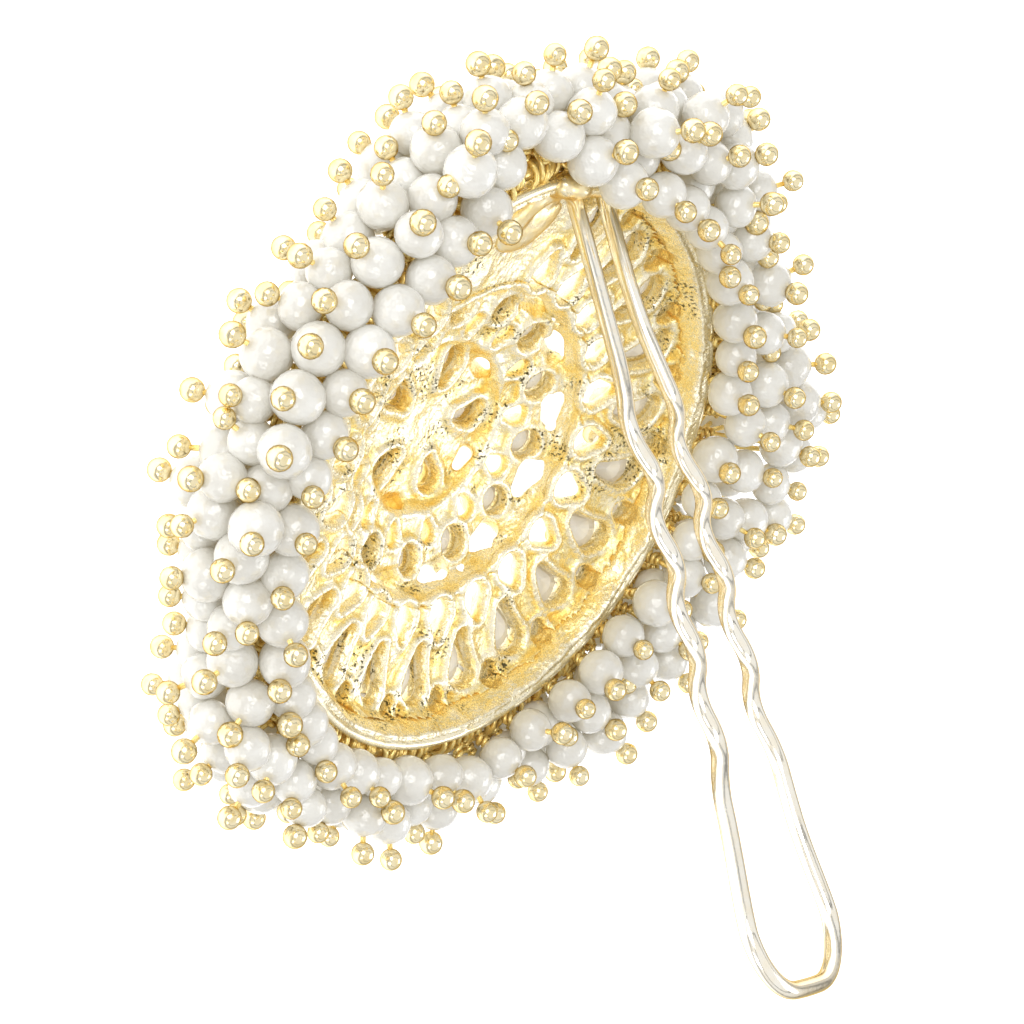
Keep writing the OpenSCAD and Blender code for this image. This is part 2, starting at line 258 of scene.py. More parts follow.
class Graph:
    """A material's node tree, with short calls that add and link nodes."""

    def __init__(self, name: str) -> None:
        """Makes an empty material with a Principled shader that is linked to its output.

        Args:
            name: the material's name.
        """
        self.material = bpy.data.materials.new(name)
        self.material.use_nodes = True
        self.tree = self.material.node_tree
        self.tree.nodes.clear()
        self.shader = self.add("BsdfPrincipled")
        self.add("OutputMaterial", Surface=self.shader.outputs[0])
        self.place = self.add("TexCoord").outputs["Object"]

    def feed(self, socket: Socket, value: object) -> None:
        """Links an output to a socket, or sets the socket to a constant.

        Args:
            socket: the input to feed.
            value: an output of another node, a number, a text or a colour.
        """
        if isinstance(value, bpy.types.NodeSocket):
            self.tree.links.new(value, socket)
        elif isinstance(value, tuple) and len(value) == 3 and socket.type == "RGBA":
            socket.default_value = (*value, 1.0)
        else:
            socket.default_value = value

    def fill(self, node: bpy.types.ShaderNode, **values: object) -> bpy.types.ShaderNode:
        """Feeds a node's inputs by name. Underscores in a name stand for spaces.

        Args:
            node: the node.
            values: what goes into each input.

        Returns:
            The same node.
        """
        for key, value in values.items():
            self.feed(node.inputs[key.replace("_", " ")], value)
        return node

    def add(self, kind: str, **values: object) -> bpy.types.ShaderNode:
        """Adds a node of a kind, such as TexNoise, and feeds its inputs by name."""
        return self.fill(self.tree.nodes.new(f"ShaderNode{kind}"), **values)

    def noise(self, per_mm: float, detail: float = 2.0, roughness: float = 0.5) -> Socket:
        """Returns noise from 0 to 1 with so many lumps in a millimetre, and finer layers over them."""
        layers = {"Scale": per_mm * MM_PER_METRE, "Detail": detail, "Roughness": roughness}
        return self.add("TexNoise", Vector=self.place, **layers).outputs["Fac"]

    def cells(self, per_mm: float) -> Socket:
        """Returns the distance from scattered points, so many in a millimetre, as lumps of cast metal."""
        return self.add("TexVoronoi", Vector=self.place, Scale=per_mm * MM_PER_METRE).outputs["Distance"]

    def attribute(self, name: str) -> Socket:
        """Returns a number that is kept at the mesh's points.

        Args:
            name: the attribute's name.

        Returns:
            The attribute's value.
        """
        node = self.add("Attribute")
        node.attribute_name = name
        return node.outputs["Fac"]

    def math(self, operation: str, a: object, b: object, clamp: bool = False) -> Socket:
        """Returns the result of a sum on two numbers or outputs.

        Args:
            operation: the sum's name in Blender.
            a: its first number or output.
            b: its second one.
            clamp: whether the result is kept between 0 and 1.

        Returns:
            The result.
        """
        node = self.add("Math")
        node.operation = operation
        node.use_clamp = clamp
        for socket, value in zip(node.inputs, (a, b)):
            self.feed(socket, value)
        return node.outputs[0]

    def swing(self, noise: Socket, size: float) -> Socket:
        """Returns noise moved to lie evenly about zero, times a size."""
        return self.math("MULTIPLY", self.math("SUBTRACT", noise, 0.5), size)

    def stretch(self, value: object, low: float, high: float, start: float = 0.0, end: float = 1.0) -> Socket:
        """Returns value mapped smoothly from low..high to start..end, and held there outside it.

        Args:
            value: what is mapped.
            low: the value that gives start.
            high: the value that gives end.
            start: the result at low and below it.
            end: the result at high and above it.

        Returns:
            The mapped value.
        """
        node = self.add("MapRange", Value=value, From_Min=low, From_Max=high, To_Min=start, To_Max=end)
        node.interpolation_type = "SMOOTHSTEP"
        return node.outputs["Result"]

    def ramp(self, value: object, stops: list[tuple[float, Colour]]) -> Socket:
        """Returns the colour at value on a ramp.

        Args:
            value: the place on the ramp, between 0 and 1.
            stops: positions and their colours, in rising order.

        Returns:
            The colour.
        """
        node = self.add("ValToRGB", Fac=value)
        set_stops(node, stops)
        return node.outputs["Color"]

    def mix(self, share: object, a: object, b: object) -> Socket:
        """Returns colour a blended towards colour b by share.

        Args:
            share: how much of b there is, between 0 and 1.
            a: the colour at 0.
            b: the colour at 1.

        Returns:
            The blended colour.
        """
        node = self.add("Mix")
        node.data_type = "RGBA"
        sockets = {socket.identifier: socket for socket in node.inputs}
        for key, value in (("Factor_Float", share), ("A_Color", a), ("B_Color", b)):
            self.feed(sockets[key], value)
        return next(socket for socket in node.outputs if socket.identifier == "Result_Color")

    def bump(self, height: object, depth_mm: float, strength: float) -> None:
        """Roughens the shader's surface and its coat by a height, of which 1 is depth_mm deep."""
        node = self.add("Bump", Strength=strength, Distance=depth_mm / MM_PER_METRE, Height=height)
        self.fill(self.shader, Normal=node.outputs["Normal"], Coat_Normal=node.outputs["Normal"])

    def finish(self, **values: object) -> bpy.types.Material:
        """Feeds the shader's own inputs by name, and returns the material."""
        self.fill(self.shader, **values)
        return self.material


@dataclass(frozen=True)
class CastGold:
    """Granular cast gold: pale on ridges as painted highlight, amber in hollows and on steep walls as painted
    shade, with clusters of tiny dark specks that are painted reflections, and a faint glow that is painted
    light.
    """

    # The ramp from deep to pale carries painted shade in hollows and on walls and painted highlight on
    # ridges, with random tone over it.
    deep: Colour = (0.90, 0.59, 0.10)
    amber: Colour = (0.93, 0.67, 0.19)
    gold: Colour = (0.94, 0.79, 0.40)
    pale: Colour = (0.95, 0.88, 0.68)
    # Colour of the dark specks, which are painted reflections of dark surroundings.
    painted_dark_reflection: Colour = (0.035, 0.03, 0.01)
    # Warm glow: painted light that lifts the shade of the metal, which is no lamp.
    glow: Colour = (1.0, 0.76, 0.28)
    glow_strength: float = 0.045
    fine_per_mm: float = 3.6
    coarse_per_mm: float = 0.8
    specks_per_mm: float = 3.0
    grains_per_mm: float = 1.9
    grain_mm: float = 0.11

    def material(self) -> bpy.types.Material:
        """Returns the material, which reads the casting's attributes of painted light and tone, of painted
        dark reflections, and of grain.

        Returns:
            The material.
        """
        g = Graph("cast_gold")
        fine = g.noise(self.fine_per_mm, 3.0, 0.7)
        # The tone attribute carries painted light: pale ridges, and darker amber hollows and walls. The noise
        # adds tone that differs at random.
        painted_light_and_tone = g.math("ADD", g.attribute("painted_light_and_tone"), g.swing(g.noise(self.coarse_per_mm), 0.6))
        painted_light_and_tone = g.math("ADD", painted_light_and_tone, g.swing(fine, 0.75), clamp=True)
        colour = g.ramp(painted_light_and_tone, [(0.0, self.deep), (0.3, self.amber), (0.58, self.gold), (0.9, self.pale)])
        # The dark specks are painted reflections of dark surroundings, in clusters given by a point
        # attribute.
        specks = g.stretch(g.noise(self.specks_per_mm, 2.0, 0.7), 0.555, 0.605)
        dark_reflection_specks = g.math("MULTIPLY", specks, g.attribute("painted_dark_reflection"), clamp=True)
        grains = g.math("ADD", g.cells(self.grains_per_mm), g.math("MULTIPLY", fine, 0.7))
        g.bump(g.math("MULTIPLY", grains, g.attribute("grain")), self.grain_mm, 0.7)
        return g.finish(
            Base_Color=g.mix(dark_reflection_specks, colour, self.painted_dark_reflection),
            Metallic=g.stretch(painted_light_and_tone, 0.1, 0.6, 0.5, 0.92),
            Roughness=g.stretch(fine, 0.3, 0.7, 0.13, 0.33),
            # The glow is painted light that lifts the shade.
            Emission_Color=self.glow,
            Emission_Strength=self.glow_strength,
        )


@dataclass(frozen=True)
class PolishedWire:
    """Drawn and polished metal, such as the hairpin, the ball heads and the wire loops."""

    name: str
    colour: Colour
    shade: Colour
    roughness: float
    dent_mm: float = 0.02
    edge: Colour = (0.72, 0.52, 0.22)
    metallic: float = 1.0
    patches_per_mm: float = 0.9
    dents_per_mm: float = 1.6

    def material(self) -> bpy.types.Material:
        """Returns the material, with faint patches and small dents.

        Returns:
            The material.
        """
        g = Graph(self.name)
        patches = g.noise(self.patches_per_mm)
        g.bump(g.noise(self.dents_per_mm, 1.0), self.dent_mm, 0.5)
        return g.finish(
            Base_Color=g.mix(g.stretch(patches, 0.35, 0.7), self.colour, self.shade),
            Specular_Tint=self.edge,
            Metallic=self.metallic,
            Roughness=g.stretch(patches, 0.3, 0.7, self.roughness * 0.8, self.roughness * 1.3),
        )


@dataclass(frozen=True)
class PearlLustre:
    """Ivory pearl lustre with soft clouds, a slightly dented surface, a clear top coat and a faint warm glow,
    which is painted light that warms the shade.
    """

    body: Colour = (0.70, 0.70, 0.68)
    cloud: Colour = (0.60, 0.59, 0.555)
    # Warm glow: painted light that stands in for light thrown back by the gold.
    glow: Colour = (1.0, 0.86, 0.55)
    glow_strength: float = 0.07
    roughness: float = 0.26
    coat_roughness: float = 0.2
    clouds_per_mm: float = 0.45
    dents_per_mm: float = 1.1
    dent_mm: float = 0.18

    def material(self) -> bpy.types.Material:
        """Returns the material, which reads a shade for each pearl.

        Returns:
            The material.
        """
        g = Graph("pearl_lustre")
        shade = g.math("MULTIPLY", g.attribute("shade"), 0.35)
        cloud = g.math("ADD", g.noise(self.clouds_per_mm), shade)
        g.bump(g.noise(self.dents_per_mm, 2.0, 0.6), self.dent_mm, 0.8)
        return g.finish(
            Base_Color=g.mix(g.stretch(cloud, 0.45, 0.95), self.body, self.cloud),
            Roughness=self.roughness,
            Specular_IOR_Level=1.0,
            Coat_Weight=1.0,
            Coat_Roughness=self.coat_roughness,
            # The glow is painted light that warms and lifts the shaded sides.
            Emission_Color=self.glow,
            Emission_Strength=self.glow_strength,
        )


@dataclass(frozen=True)
class ClearStone:
    """Clear cut stone, a little grey, over a pale back, with a faint warm glow that is painted light
    brightening it.
    """

    clear: Colour = (0.96, 0.93, 0.87)
    grey: Colour = (0.80, 0.78, 0.75)
    # Glow: painted light that brightens the stones, which are no lamps.
    glow: Colour = (1.0, 0.93, 0.78)
    glow_strength: float = 0.05
    transmission: float = 0.35
    refraction: float = 1.5
    shine: float = 0.8

    def material(self) -> bpy.types.Material:
        """Returns the material, clear enough to show what lies behind it."""
        g = Graph("clear_stone")
        return g.finish(
            Base_Color=g.mix(g.noise(0.5, 1.0), self.clear, self.grey),
            Roughness=g.stretch(g.noise(1.5, 1.0), 0.3, 0.7, 0.03, 0.12),
            Transmission_Weight=self.transmission,
            IOR=self.refraction,
            # The glow is painted light that brightens the stone.
            Emission_Color=self.glow,
            Emission_Strength=self.glow_strength,
            Specular_IOR_Level=self.shine,
        )


@dataclass(frozen=True)
class PaleFloor:
    """Plain white surface that glows a little, like a light table."""

    bright: Colour = (0.6, 0.6, 0.598)
    dull: Colour = (0.58, 0.58, 0.578)
    glow: Colour = (1.0, 1.0, 1.0)
    glow_strength: float = 1.05

    def material(self) -> bpy.types.Material:
        """Returns the material."""
        g = Graph("pale_floor")
        return g.finish(
            Base_Color=g.mix(g.noise(0.02, 1.0), self.bright, self.dull),
            Roughness=0.9,
            Specular_IOR_Level=0.1,
            Emission_Color=self.glow,
            Emission_Strength=self.glow_strength,
        )


class Finishes:
    """Every material, made once."""

    def __init__(self) -> None:
        """Makes the materials."""
        solder = PolishedWire("solder", (1.0, 0.89, 0.62), (1.0, 0.82, 0.44), 0.32, 0.12)
        hairpin = PolishedWire(
            "champagne_wire", (1.0, 0.96, 0.86), (1.0, 0.93, 0.78), 0.15, edge=(0.5, 0.36, 0.12)
        )
        heads = PolishedWire(
            "ball_head", (0.95, 0.84, 0.56), (0.90, 0.74, 0.40), 0.17, 0.10, edge=(0.5, 0.34, 0.1)
        )
        loops = PolishedWire("loop_wire", (1.0, 0.82, 0.36), (0.95, 0.68, 0.22), 0.24, metallic=0.6)
        self.casting = CastGold().material()
        self.solder = solder.material()
        self.hairpin = hairpin.material()
        self.heads = heads.material()
        self.loops = loops.material()
        self.pearl = PearlLustre().material()
        self.stone = ClearStone().material()
        self.floor = PaleFloor().material()


class Tier(Enum):
    """The three pierced levels of the dome."""

    OUTER = "outer"
    MIDDLE = "middle"
    HUB = "hub"


@dataclass(frozen=True)
class DomeProfile:
    """Section of the casting, as radii and depths below the rim.

    The walls say how much further out each corner of the face side is than that of the hair side.
    """

    rim_r: float = 26.0
    lip_w: float = 1.3
    lip_top: float = 0.25
    lip_side: float = 0.8
    lip_under: float = 1.0
    lip_chamfer: float = 0.3
    foot_r: float = 24.3
    skirt_drop: float = 3.5
    skirt_t: float = 1.2
    skirt_edge: float = 0.6
    tier_t: float = 2.0
    step_r: float = 14.8
    step_drop: float = 5.4
    step_foot_r: float = 14.0
    step_foot_drop: float = 7.8
    hub_r: float = 8.2
    hub_drop: float = 9.5
    hub_foot_r: float = 7.4
    hub_foot_drop: float = 10.7
    crown_drop: float = 11.0
    past_axis: float = -3.0
    walls: tuple[float, ...] = (1.0, 1.3, 1.1, 1.4, 0.4)

    def tilt(self, tier: Tier) -> float:
        """Returns a tier's slope.

        Args:
            tier: the tier.

        Returns:
            The slope in radians, positive where the tier rises outwards.
        """
        if tier is Tier.OUTER:
            return math.atan2(self.step_drop - self.skirt_drop, self.foot_r - self.step_r)
        if tier is Tier.MIDDLE:
            return math.atan2(self.hub_drop - self.step_foot_drop, self.step_foot_r - self.hub_r)
        return math.atan2(self.crown_drop - self.hub_foot_drop, self.hub_foot_r)

    def height(self, tier: Tier, r: float) -> float:
        """Returns the height of a tier's hair side.

        Args:
            tier: the tier.
            r: the radius in millimetres.

        Returns:
            The height at that radius, with the rim at 0.
        """
        start, drop = {
            Tier.OUTER: (self.step_r, self.step_drop),
            Tier.MIDDLE: (self.hub_r, self.hub_drop),
            Tier.HUB: (0.0, self.crown_drop),
        }[tier]
        return -drop + (r - start) * math.tan(self.tilt(tier))

    def corners(self) -> list[tuple[float, float]]:
        """Returns the section's corners, along the hair side and back along the face side.

        Returns:
            Radii and heights, in order round the section.
        """
        inner, outer = self.rim_r - self.lip_w / 2, self.rim_r + self.lip_w / 2
        tiers = (Tier.HUB, Tier.MIDDLE, Tier.MIDDLE, Tier.OUTER, Tier.OUTER)
        starts = (self.hub_foot_r, self.hub_r, self.step_foot_r, self.step_r, self.foot_r)
        face = [(tier, start + wall) for tier, start, wall in zip(tiers, starts, self.walls)]
        return [
            (outer, -self.lip_top),
            (inner, -self.lip_top),
            (self.foot_r, -self.skirt_drop),
            (self.step_r, -self.step_drop),
            (self.step_foot_r, -self.step_foot_drop),
            (self.hub_r, -self.hub_drop),
            (self.hub_foot_r, -self.hub_foot_drop),
            (self.past_axis, -self.crown_drop),
            (self.past_axis, -self.crown_drop - self.tier_t),
            *[(r, self.height(tier, r) - self.tier_t) for tier, r in face],
            (self.foot_r + self.skirt_t, -self.skirt_drop - self.skirt_edge),
            (outer - self.lip_chamfer, -self.lip_under),
            (outer, -self.lip_side),
        ]


@dataclass(frozen=True)
class Drop:
    """A drop shape: radii of its round end and its tip, their distance, and its place."""

    big: float
    tip: float
    span: float
    at: float

    def grown(self, by: float) -> "Drop":
        """Returns the drop with every side moved out."""
        return Drop(self.big + by, self.tip + by, self.span, self.at)

    def distance(self, along: Array, across: Array) -> Array:
        """Returns the distance of points from the drop's outline.

        Args:
            along: places along the drop's length.
            across: places across it.

        Returns:
            The distance for each place, negative inside the drop.
        """
        slope = (self.tip - self.big) / self.span
        side = math.sqrt(1 - slope * slope)
        x, y = np.abs(across), along + self.span / 2
        k = side * y - slope * x
        low = np.hypot(x, y) - self.tip
        high = np.hypot(x, y - self.span) - self.big
        middle = side * x + slope * y - self.tip
        return np.where(k < 0, low, np.where(k > side * self.span, high, middle))

    def outline(self, grow: float, steps: int = 4) -> Array:
        """Returns the corners of the outline, round end outwards.

        Args:
            grow: how far every side is moved out.
            steps: how finely the two round ends are divided.

        Returns:
            One row for each corner.
        """
        big, tip = self.big + grow, self.tip + grow
        turn = math.acos((big - tip) / self.span)
        round_end = [math.pi + turn + i * (math.pi - turn) / steps for i in range(2 * steps + 1)]
        point_end = [math.pi - turn + i * 2 * turn / (steps - 1) for i in range(steps)]
        return np.array(
            [(self.span / 2 + big * math.cos(a), big * math.sin(a)) for a in round_end]
            + [(-self.span / 2 + tip * math.cos(a), tip * math.sin(a)) for a in point_end]
        )


@dataclass(frozen=True)
class Setting:
    """One kind of opening, repeated round a tier, with or without a stone."""

    tier: Tier
    drop: Drop
    azimuths: tuple[float, ...]
    stone: bool = False
    flip: bool = False
    bead: float = 0.48
    bend: float = 0.0
    blind: bool = False


@dataclass(frozen=True)
class Piercing:
    """Where the openings of the dome are. The pad of solder covers some places."""

    outer_count: int = 22
    outer_start: float = 334.0
    middle_count: int = 13
    middle_start: float = 340.0
    hub_count: int = 5
    hub_start: float = 21.0
    pad_azimuth: float = 115.0
    petals_clear: float = 14.0
    edges_clear: float = 16.0

    def ring(self, start: float, count: int, half: bool = False, clear: float = 0.0) -> tuple[float, ...]:
        """Returns azimuths evenly round the dome.

        Args:
            start: the first azimuth.
            count: how many there are.
            half: whether they stand half a step further on.
            clear: how far they keep from the pad of solder.

        Returns:
            The azimuths in degrees.
        """
        step = 360.0 / count
        everywhere = [start + step * (i + (0.5 if half else 0.0)) for i in range(count)]
        return tuple(a for a in everywhere if abs((a - self.pad_azimuth + 540) % 360 - 180) > clear)

    def settings(self) -> tuple[Setting, ...]:
        """Returns each kind of opening.

        Returns:
            The kinds of opening, in the order in which they are cut.
        """
        outer = self.ring(self.outer_start, self.outer_count, clear=self.petals_clear)
        outer_half = self.ring(self.outer_start, self.outer_count, half=True, clear=self.edges_clear)
        middle = self.ring(self.middle_start, self.middle_count)
        middle_half = self.ring(self.middle_start, self.middle_count, half=True)
        hub = self.ring(self.hub_start, self.hub_count)
        petal = Setting(Tier.OUTER, Drop(1.45, 0.55, 3.4, 20.8), outer, stone=True, bend=0.05)
        edge = Setting(Tier.OUTER, Drop(0.9, 0.6, 0.5, 23.8), outer_half, stone=True, bead=0.35)
        web = Setting(Tier.OUTER, Drop(1.2, 0.25, 2.1, 17.2), outer_half, flip=True)
        oval = Setting(Tier.MIDDLE, Drop(1.2, 1.05, 0.4, 12.0), middle, stone=True)
        gap = Setting(Tier.MIDDLE, Drop(0.75, 0.3, 1.1, 9.8), middle_half, bead=0.38)
        hub_petal = Setting(Tier.HUB, Drop(1.15, 0.5, 1.9, 5.1), hub, stone=True, bend=0.08)
        hub_middle = Setting(Tier.HUB, Drop(1.05, 1.04, 0.05, 0.0), (0.0,), stone=True, bead=0.0, blind=True)
        return petal, edge, web, oval, gap, hub_petal, hub_middle


class Field:
    """A distance field on an even grid, which is carved and then turned into a mesh."""

    far: float = 9.0

    def __init__(self, low: Point, high: Point, step: float) -> None:
        """Sets up the grid.

        Args:
            low: lowest corner in millimetres.
            high: highest corner.
            step: distance between two samples.
        """
        self.step = step
        self.axes = [np.arange(a, b + step / 2, step, dtype=np.float32) for a, b in zip(low, high)]
        self.values = np.full([len(axis) for axis in self.axes], self.far, dtype=np.float32)

    def block(self, middle: Array, reach: float) -> Block:
        """Returns the part of the grid within reach of a point, along every axis.

        Args:
            middle: the point.
            reach: how far the part reaches from it.

        Returns:
            One slice for each axis.
        """
        ends = [np.searchsorted(axis, (c - reach, c + reach)) for axis, c in zip(self.axes, middle)]
        return tuple(slice(int(first), int(last)) for first, last in ends)

    def places(self, part: Block) -> list[Array]:
        """Returns the coordinates of the samples in a part of the grid."""
        return np.meshgrid(*[axis[s] for axis, s in zip(self.axes, part)], indexing="ij", sparse=True)

    def fuse(self, part: Block, shape: Array, blend: float) -> None:
        """Adds a shape to a part of the grid, rounded over the width of the blend."""
        self.values[part] = soft_min(self.values[part], shape, blend)

    def cut(self, part: Block, shape: Array, blend: float) -> None:
        """Cuts a shape from a part of the grid, rounded over the width of the blend."""
        self.values[part] = soft_max(self.values[part], -shape, blend)

    def waves(self, spacing: float, seed: int) -> Array:
        """Returns smooth random waves over the grid, of spread one.

        Args:
            spacing: the distance between two waves in millimetres.
            seed: what the random numbers start from.

        Returns:
            The height of the waves at each sample.
        """
        weights = [self.spline_rows(axis, spacing) for axis in self.axes]
        counts = [rows.shape[1] for rows in weights]
        knots = np.random.default_rng(seed).standard_normal(counts).astype(np.float32)
        waves = np.tensordot(weights[0], knots, (1, 0))
        waves = np.tensordot(waves, weights[1], (1, 1)).transpose(0, 2, 1)
        waves = np.tensordot(waves, weights[2], (2, 1))
        return waves / waves.std()

    @staticmethod
    def spline_rows(axis: Array, spacing: float) -> Array:
        """Returns the cubic spline weight of each knot at each sample of an axis.

        Args:
            axis: the samples' places.
            spacing: the distance between two knots.

        Returns:
            One row for each sample and one column for each knot.
        """
        t = axis / spacing
        first = math.floor(float(t.min())) - 2
        rows = np.zeros((len(t), math.floor(float(t.max())) + 4 - first), np.float32)
        i = np.floor(t).astype(int)
        f = t - i
        parts = [
            (1 - f) ** 3 / 6,
            (3 * f**3 - 6 * f**2 + 4) / 6,
            (-3 * f**3 + 3 * f**2 + 3 * f + 1) / 6,
            f**3 / 6,
        ]
        for k, part in enumerate(parts):
            rows[np.arange(len(t)), i - 1 + k - first] += part
        return rows

    def blurred(self, reach: int, times: int = 2) -> Array:
        """Returns the field averaged over boxes that reach this many samples each way.

        Args:
            reach: how many samples a box reaches.
            times: how often the field is averaged.

        Returns:
            The averaged field.
        """
        out = self.values
        width = 2 * reach + 1
        for _ in range(times):
            for axis in range(3):
                pad = [(0, 0)] * 3
                pad[axis] = (reach + 1, reach)
                total = np.cumsum(np.pad(out, pad, mode="edge"), axis=axis, dtype=np.float64)
                high = np.take(total, range(width, total.shape[axis]), axis=axis)
                low = np.take(total, range(0, total.shape[axis] - width), axis=axis)
                out = ((high - low) / width).astype(np.float32)
        return out

    def sample(self, values: Array, points: Array) -> Array:
        """Returns values between the grid's samples.

        Args:
            values: numbers on the grid.
            points: one row of coordinates for each point.

        Returns:
            One number for each point.
        """
        t = (points - [axis[0] for axis in self.axes]) / self.step
        i = np.clip(np.floor(t).astype(int), 0, np.array(values.shape) - 2)
        f = np.clip(t - i, 0.0, 1.0)
        out = np.zeros(len(points))
        for corner in np.ndindex(2, 2, 2):
            weight = np.prod(np.where(corner, f, 1 - f), axis=1)
            j = i + corner
            out += weight * values[j[:, 0], j[:, 1], j[:, 2]]
        return out

    def surface(self, values: Array) -> tuple[Array, Array]:
        """Returns the zero surface of a field as a mesh.

        Args:
            values: the field, negative inside the solid.

        Returns:
            The points in millimetres, and the four-sided faces.
        """
        reach = 3 * self.step
        grid = openvdb.FloatGrid(float(reach))
        grid.copyFromArray(np.clip(values, -reach, reach))
        points, quads = grid.convertToQuads(0.0)
        return points * self.step + [axis[0] for axis in self.axes], quads[:, ::-1]


@dataclass(frozen=True)
class Bead:
    """A rounded bead or groove that runs round the dome, as its place, radius and blend."""

    r: float
    z: float
    radius: float
    blend: float

    def distance(self, r: Array, z: Array) -> Array:
        """Returns the distance of points (r, z) from the bead's surface."""
        return np.hypot(r - self.r, z - self.z) - self.radius


@dataclass(frozen=True)
class Window:
    """A row of slanted windows low in one step wall."""

    tier: Tier
    at: float
    drop: Drop
    azimuths: tuple[float, ...]


@dataclass
class Opening:
    """One opening on the grid: coordinates in its own frame, and distances from its two outlines."""

    setting: Setting
    block: Block
    out: Array
    hair: Array
    seat: Array


@dataclass
class Assembly:
    """What every sub-assembly has: the materials that it is dressed in."""

    finishes: Finishes


@dataclass
class Casting(Assembly):
    """The pierced dome with its skirt, lip, ridges and settings.

    Each swell of the surface is a height, a spacing and a seed.
    """

    profile: DomeProfile
    piercing: Piercing
    step: float = 0.234
    low: Point = (-27.4, -27.4, -14.4)
    high: Point = (27.4, 27.4, 1.0)
    beads: tuple[Bead, ...] = (
        Bead(26.25, -0.45, 0.4, 0.2),
        Bead(25.5, -0.6, 0.16, 0.1),
        Bead(14.95, -5.45, 0.26, 0.3),
        Bead(8.35, -9.5, 0.24, 0.3),
    )
    groove: Bead = Bead(25.72, -0.3, 0.13, 0.08)
    section_step: float = 0.1
    section_r: float = 39.5
    calm_r: float = 25.4
    swell: tuple[tuple[float, float, int], ...] = ((0.09, 2.1, 3), (0.06, 0.8, 4))
    ledge: float = 0.47
    cut_depth: float = 3.4
    ridge_blend: float = 0.45
    edge_blend: float = 0.22
    window_slope: float = 40.0
    tier_seam: float = 15.25
    skirt_seam: float = 24.75
    lip_r: float = 25.8
    # Radius inside which the painted dark reflections are put.
    dark_reflection_r: float = 25.2
    seed: int = 11
    dark_reflection_seed: int = 21
    grid: Field = field(init=False)

    def __post_init__(self) -> None:
        """Makes the grid over the whole dome."""
        self.grid = Field(self.low, self.high, self.step)

    def section(self, r: Array, z: Array) -> Array:
        """Returns the distance from the section, with its beads and groove.

        Args:
            r: radii.
            z: heights.

        Returns:
            The distance for each point (r, z), negative inside the metal.
        """
        corners = self.profile.corners()
        nearest = np.full(r.shape, 1e9)
        sign = np.ones(r.shape)
        for (ax, ay), (bx, by) in zip(corners, corners[-1:] + corners[:-1]):
            ex, ey = bx - ax, by - ay
            wx, wy = r - ax, z - ay
            t = np.clip((wx * ex + wy * ey) / (ex * ex + ey * ey), 0, 1)
            nearest = np.minimum(nearest, (wx - ex * t) ** 2 + (wy - ey * t) ** 2)
            above, below, left = z >= ay, z < by, ex * wy > ey * wx
            sign = np.where((above & below & left) | (~above & ~below & ~left), -sign, sign)
        out = sign * np.sqrt(nearest)
        for bead in self.beads:
            out = soft_min(out, bead.distance(r, z), bead.blend)
        return soft_max(out, -self.groove.distance(r, z), self.groove.blend)

    def shell(self) -> None:
        """Fills the grid with the solid dome, a little uneven, as cast metal is."""
        r_axis = np.arange(0.0, self.section_r, self.section_step)
        rr, zz = np.meshgrid(r_axis, self.grid.axes[2], indexing="ij")
        section = self.section(rr, zz).astype(np.float32)
        r = self.radii()
        t = r / self.section_step
        i = t[..., 0].astype(int)
        share = (t - i[..., None]).astype(np.float32)
        self.grid.values = (1 - share) * section[i] + share * section[i + 1]
        calm = 1 - 0.75 * np.clip((r - self.calm_r) / 0.5, 0, 1).astype(np.float32)
        self.grid.values += sum(h * self.grid.waves(spacing, seed) for h, spacing, seed in self.swell) * calm

    def radii(self) -> Array:
        """Returns the radius of each column of the grid."""
        x, y = np.meshgrid(self.grid.axes[0], self.grid.axes[1], indexing="ij")
        return np.hypot(x, y)[..., None]

    def local(self, tier: Tier, at: float, azimuth: float, reach: float) -> tuple[Block, list[Array]]:
        """Returns a block of the grid round a place on a tier, with coordinates in its frame.

        Args:
            tier: the tier.
            at: the place's radius.
            azimuth: its azimuth in degrees.
            reach: how far the block reaches from the place.

        Returns:
            The block, and along, across and out of the hair side for each of its samples.
        """
        tilt = self.profile.tilt(tier)
        turn = turned(azimuth)
        middle = turn @ (at, 0.0, self.profile.height(tier, at))
        along = turn @ (math.cos(tilt), 0.0, math.sin(tilt))
        across = turn @ (0.0, 1.0, 0.0)
        out = turn @ (-math.sin(tilt), 0.0, math.cos(tilt))
        block = self.grid.block(middle, reach)
        steps = [p - m for p, m in zip(self.grid.places(block), middle)]
        return block, [sum(s * a for s, a in zip(steps, axis)) for axis in (along, across, out)]

    def openings(self, rng: np.random.Generator) -> list[Opening]:
        """Returns every opening of the tiers, each a little different.

        Args:
            rng: where the small differences come from.

        Returns:
            The openings.
        """
        found = []
        for setting in self.piercing.settings():
            reach = setting.drop.span / 2 + setting.drop.big + 2.8
            for azimuth in setting.azimuths:
                block, (along, across, out) = self.local(setting.tier, setting.drop.at, azimuth, reach)
                across = across - setting.bend * along**2
                loose = setting.drop.grown(float(rng.uniform(-0.12, 0.1)))
                swing = float(rng.uniform(-0.09, 0.09))
                side = -1.0 if setting.flip else 1.0
                hair = loose.distance(side * (along + swing * across), across - swing * along)
                seat = setting.drop.distance(along, across) - self.ledge
                found.append(Opening(setting, block, out, hair, seat))
        return found

    def pierce(self, rng: np.random.Generator) -> None:
        """Adds the rounded ridges and bezels, and cuts every opening and seat.

        Args:
            rng: where the small differences between openings come from.
        """
        openings = self.openings(rng)
        settings = [one for one in openings if one.setting.stone]
        # Ridges come first, so that they melt into each other before anything is cut.
        for one in openings:
            bead = one.setting.bead
            if bead:
                self.grid.fuse(one.block, np.hypot(one.hair - bead, one.out - 0.05) - bead, self.ridge_blend)
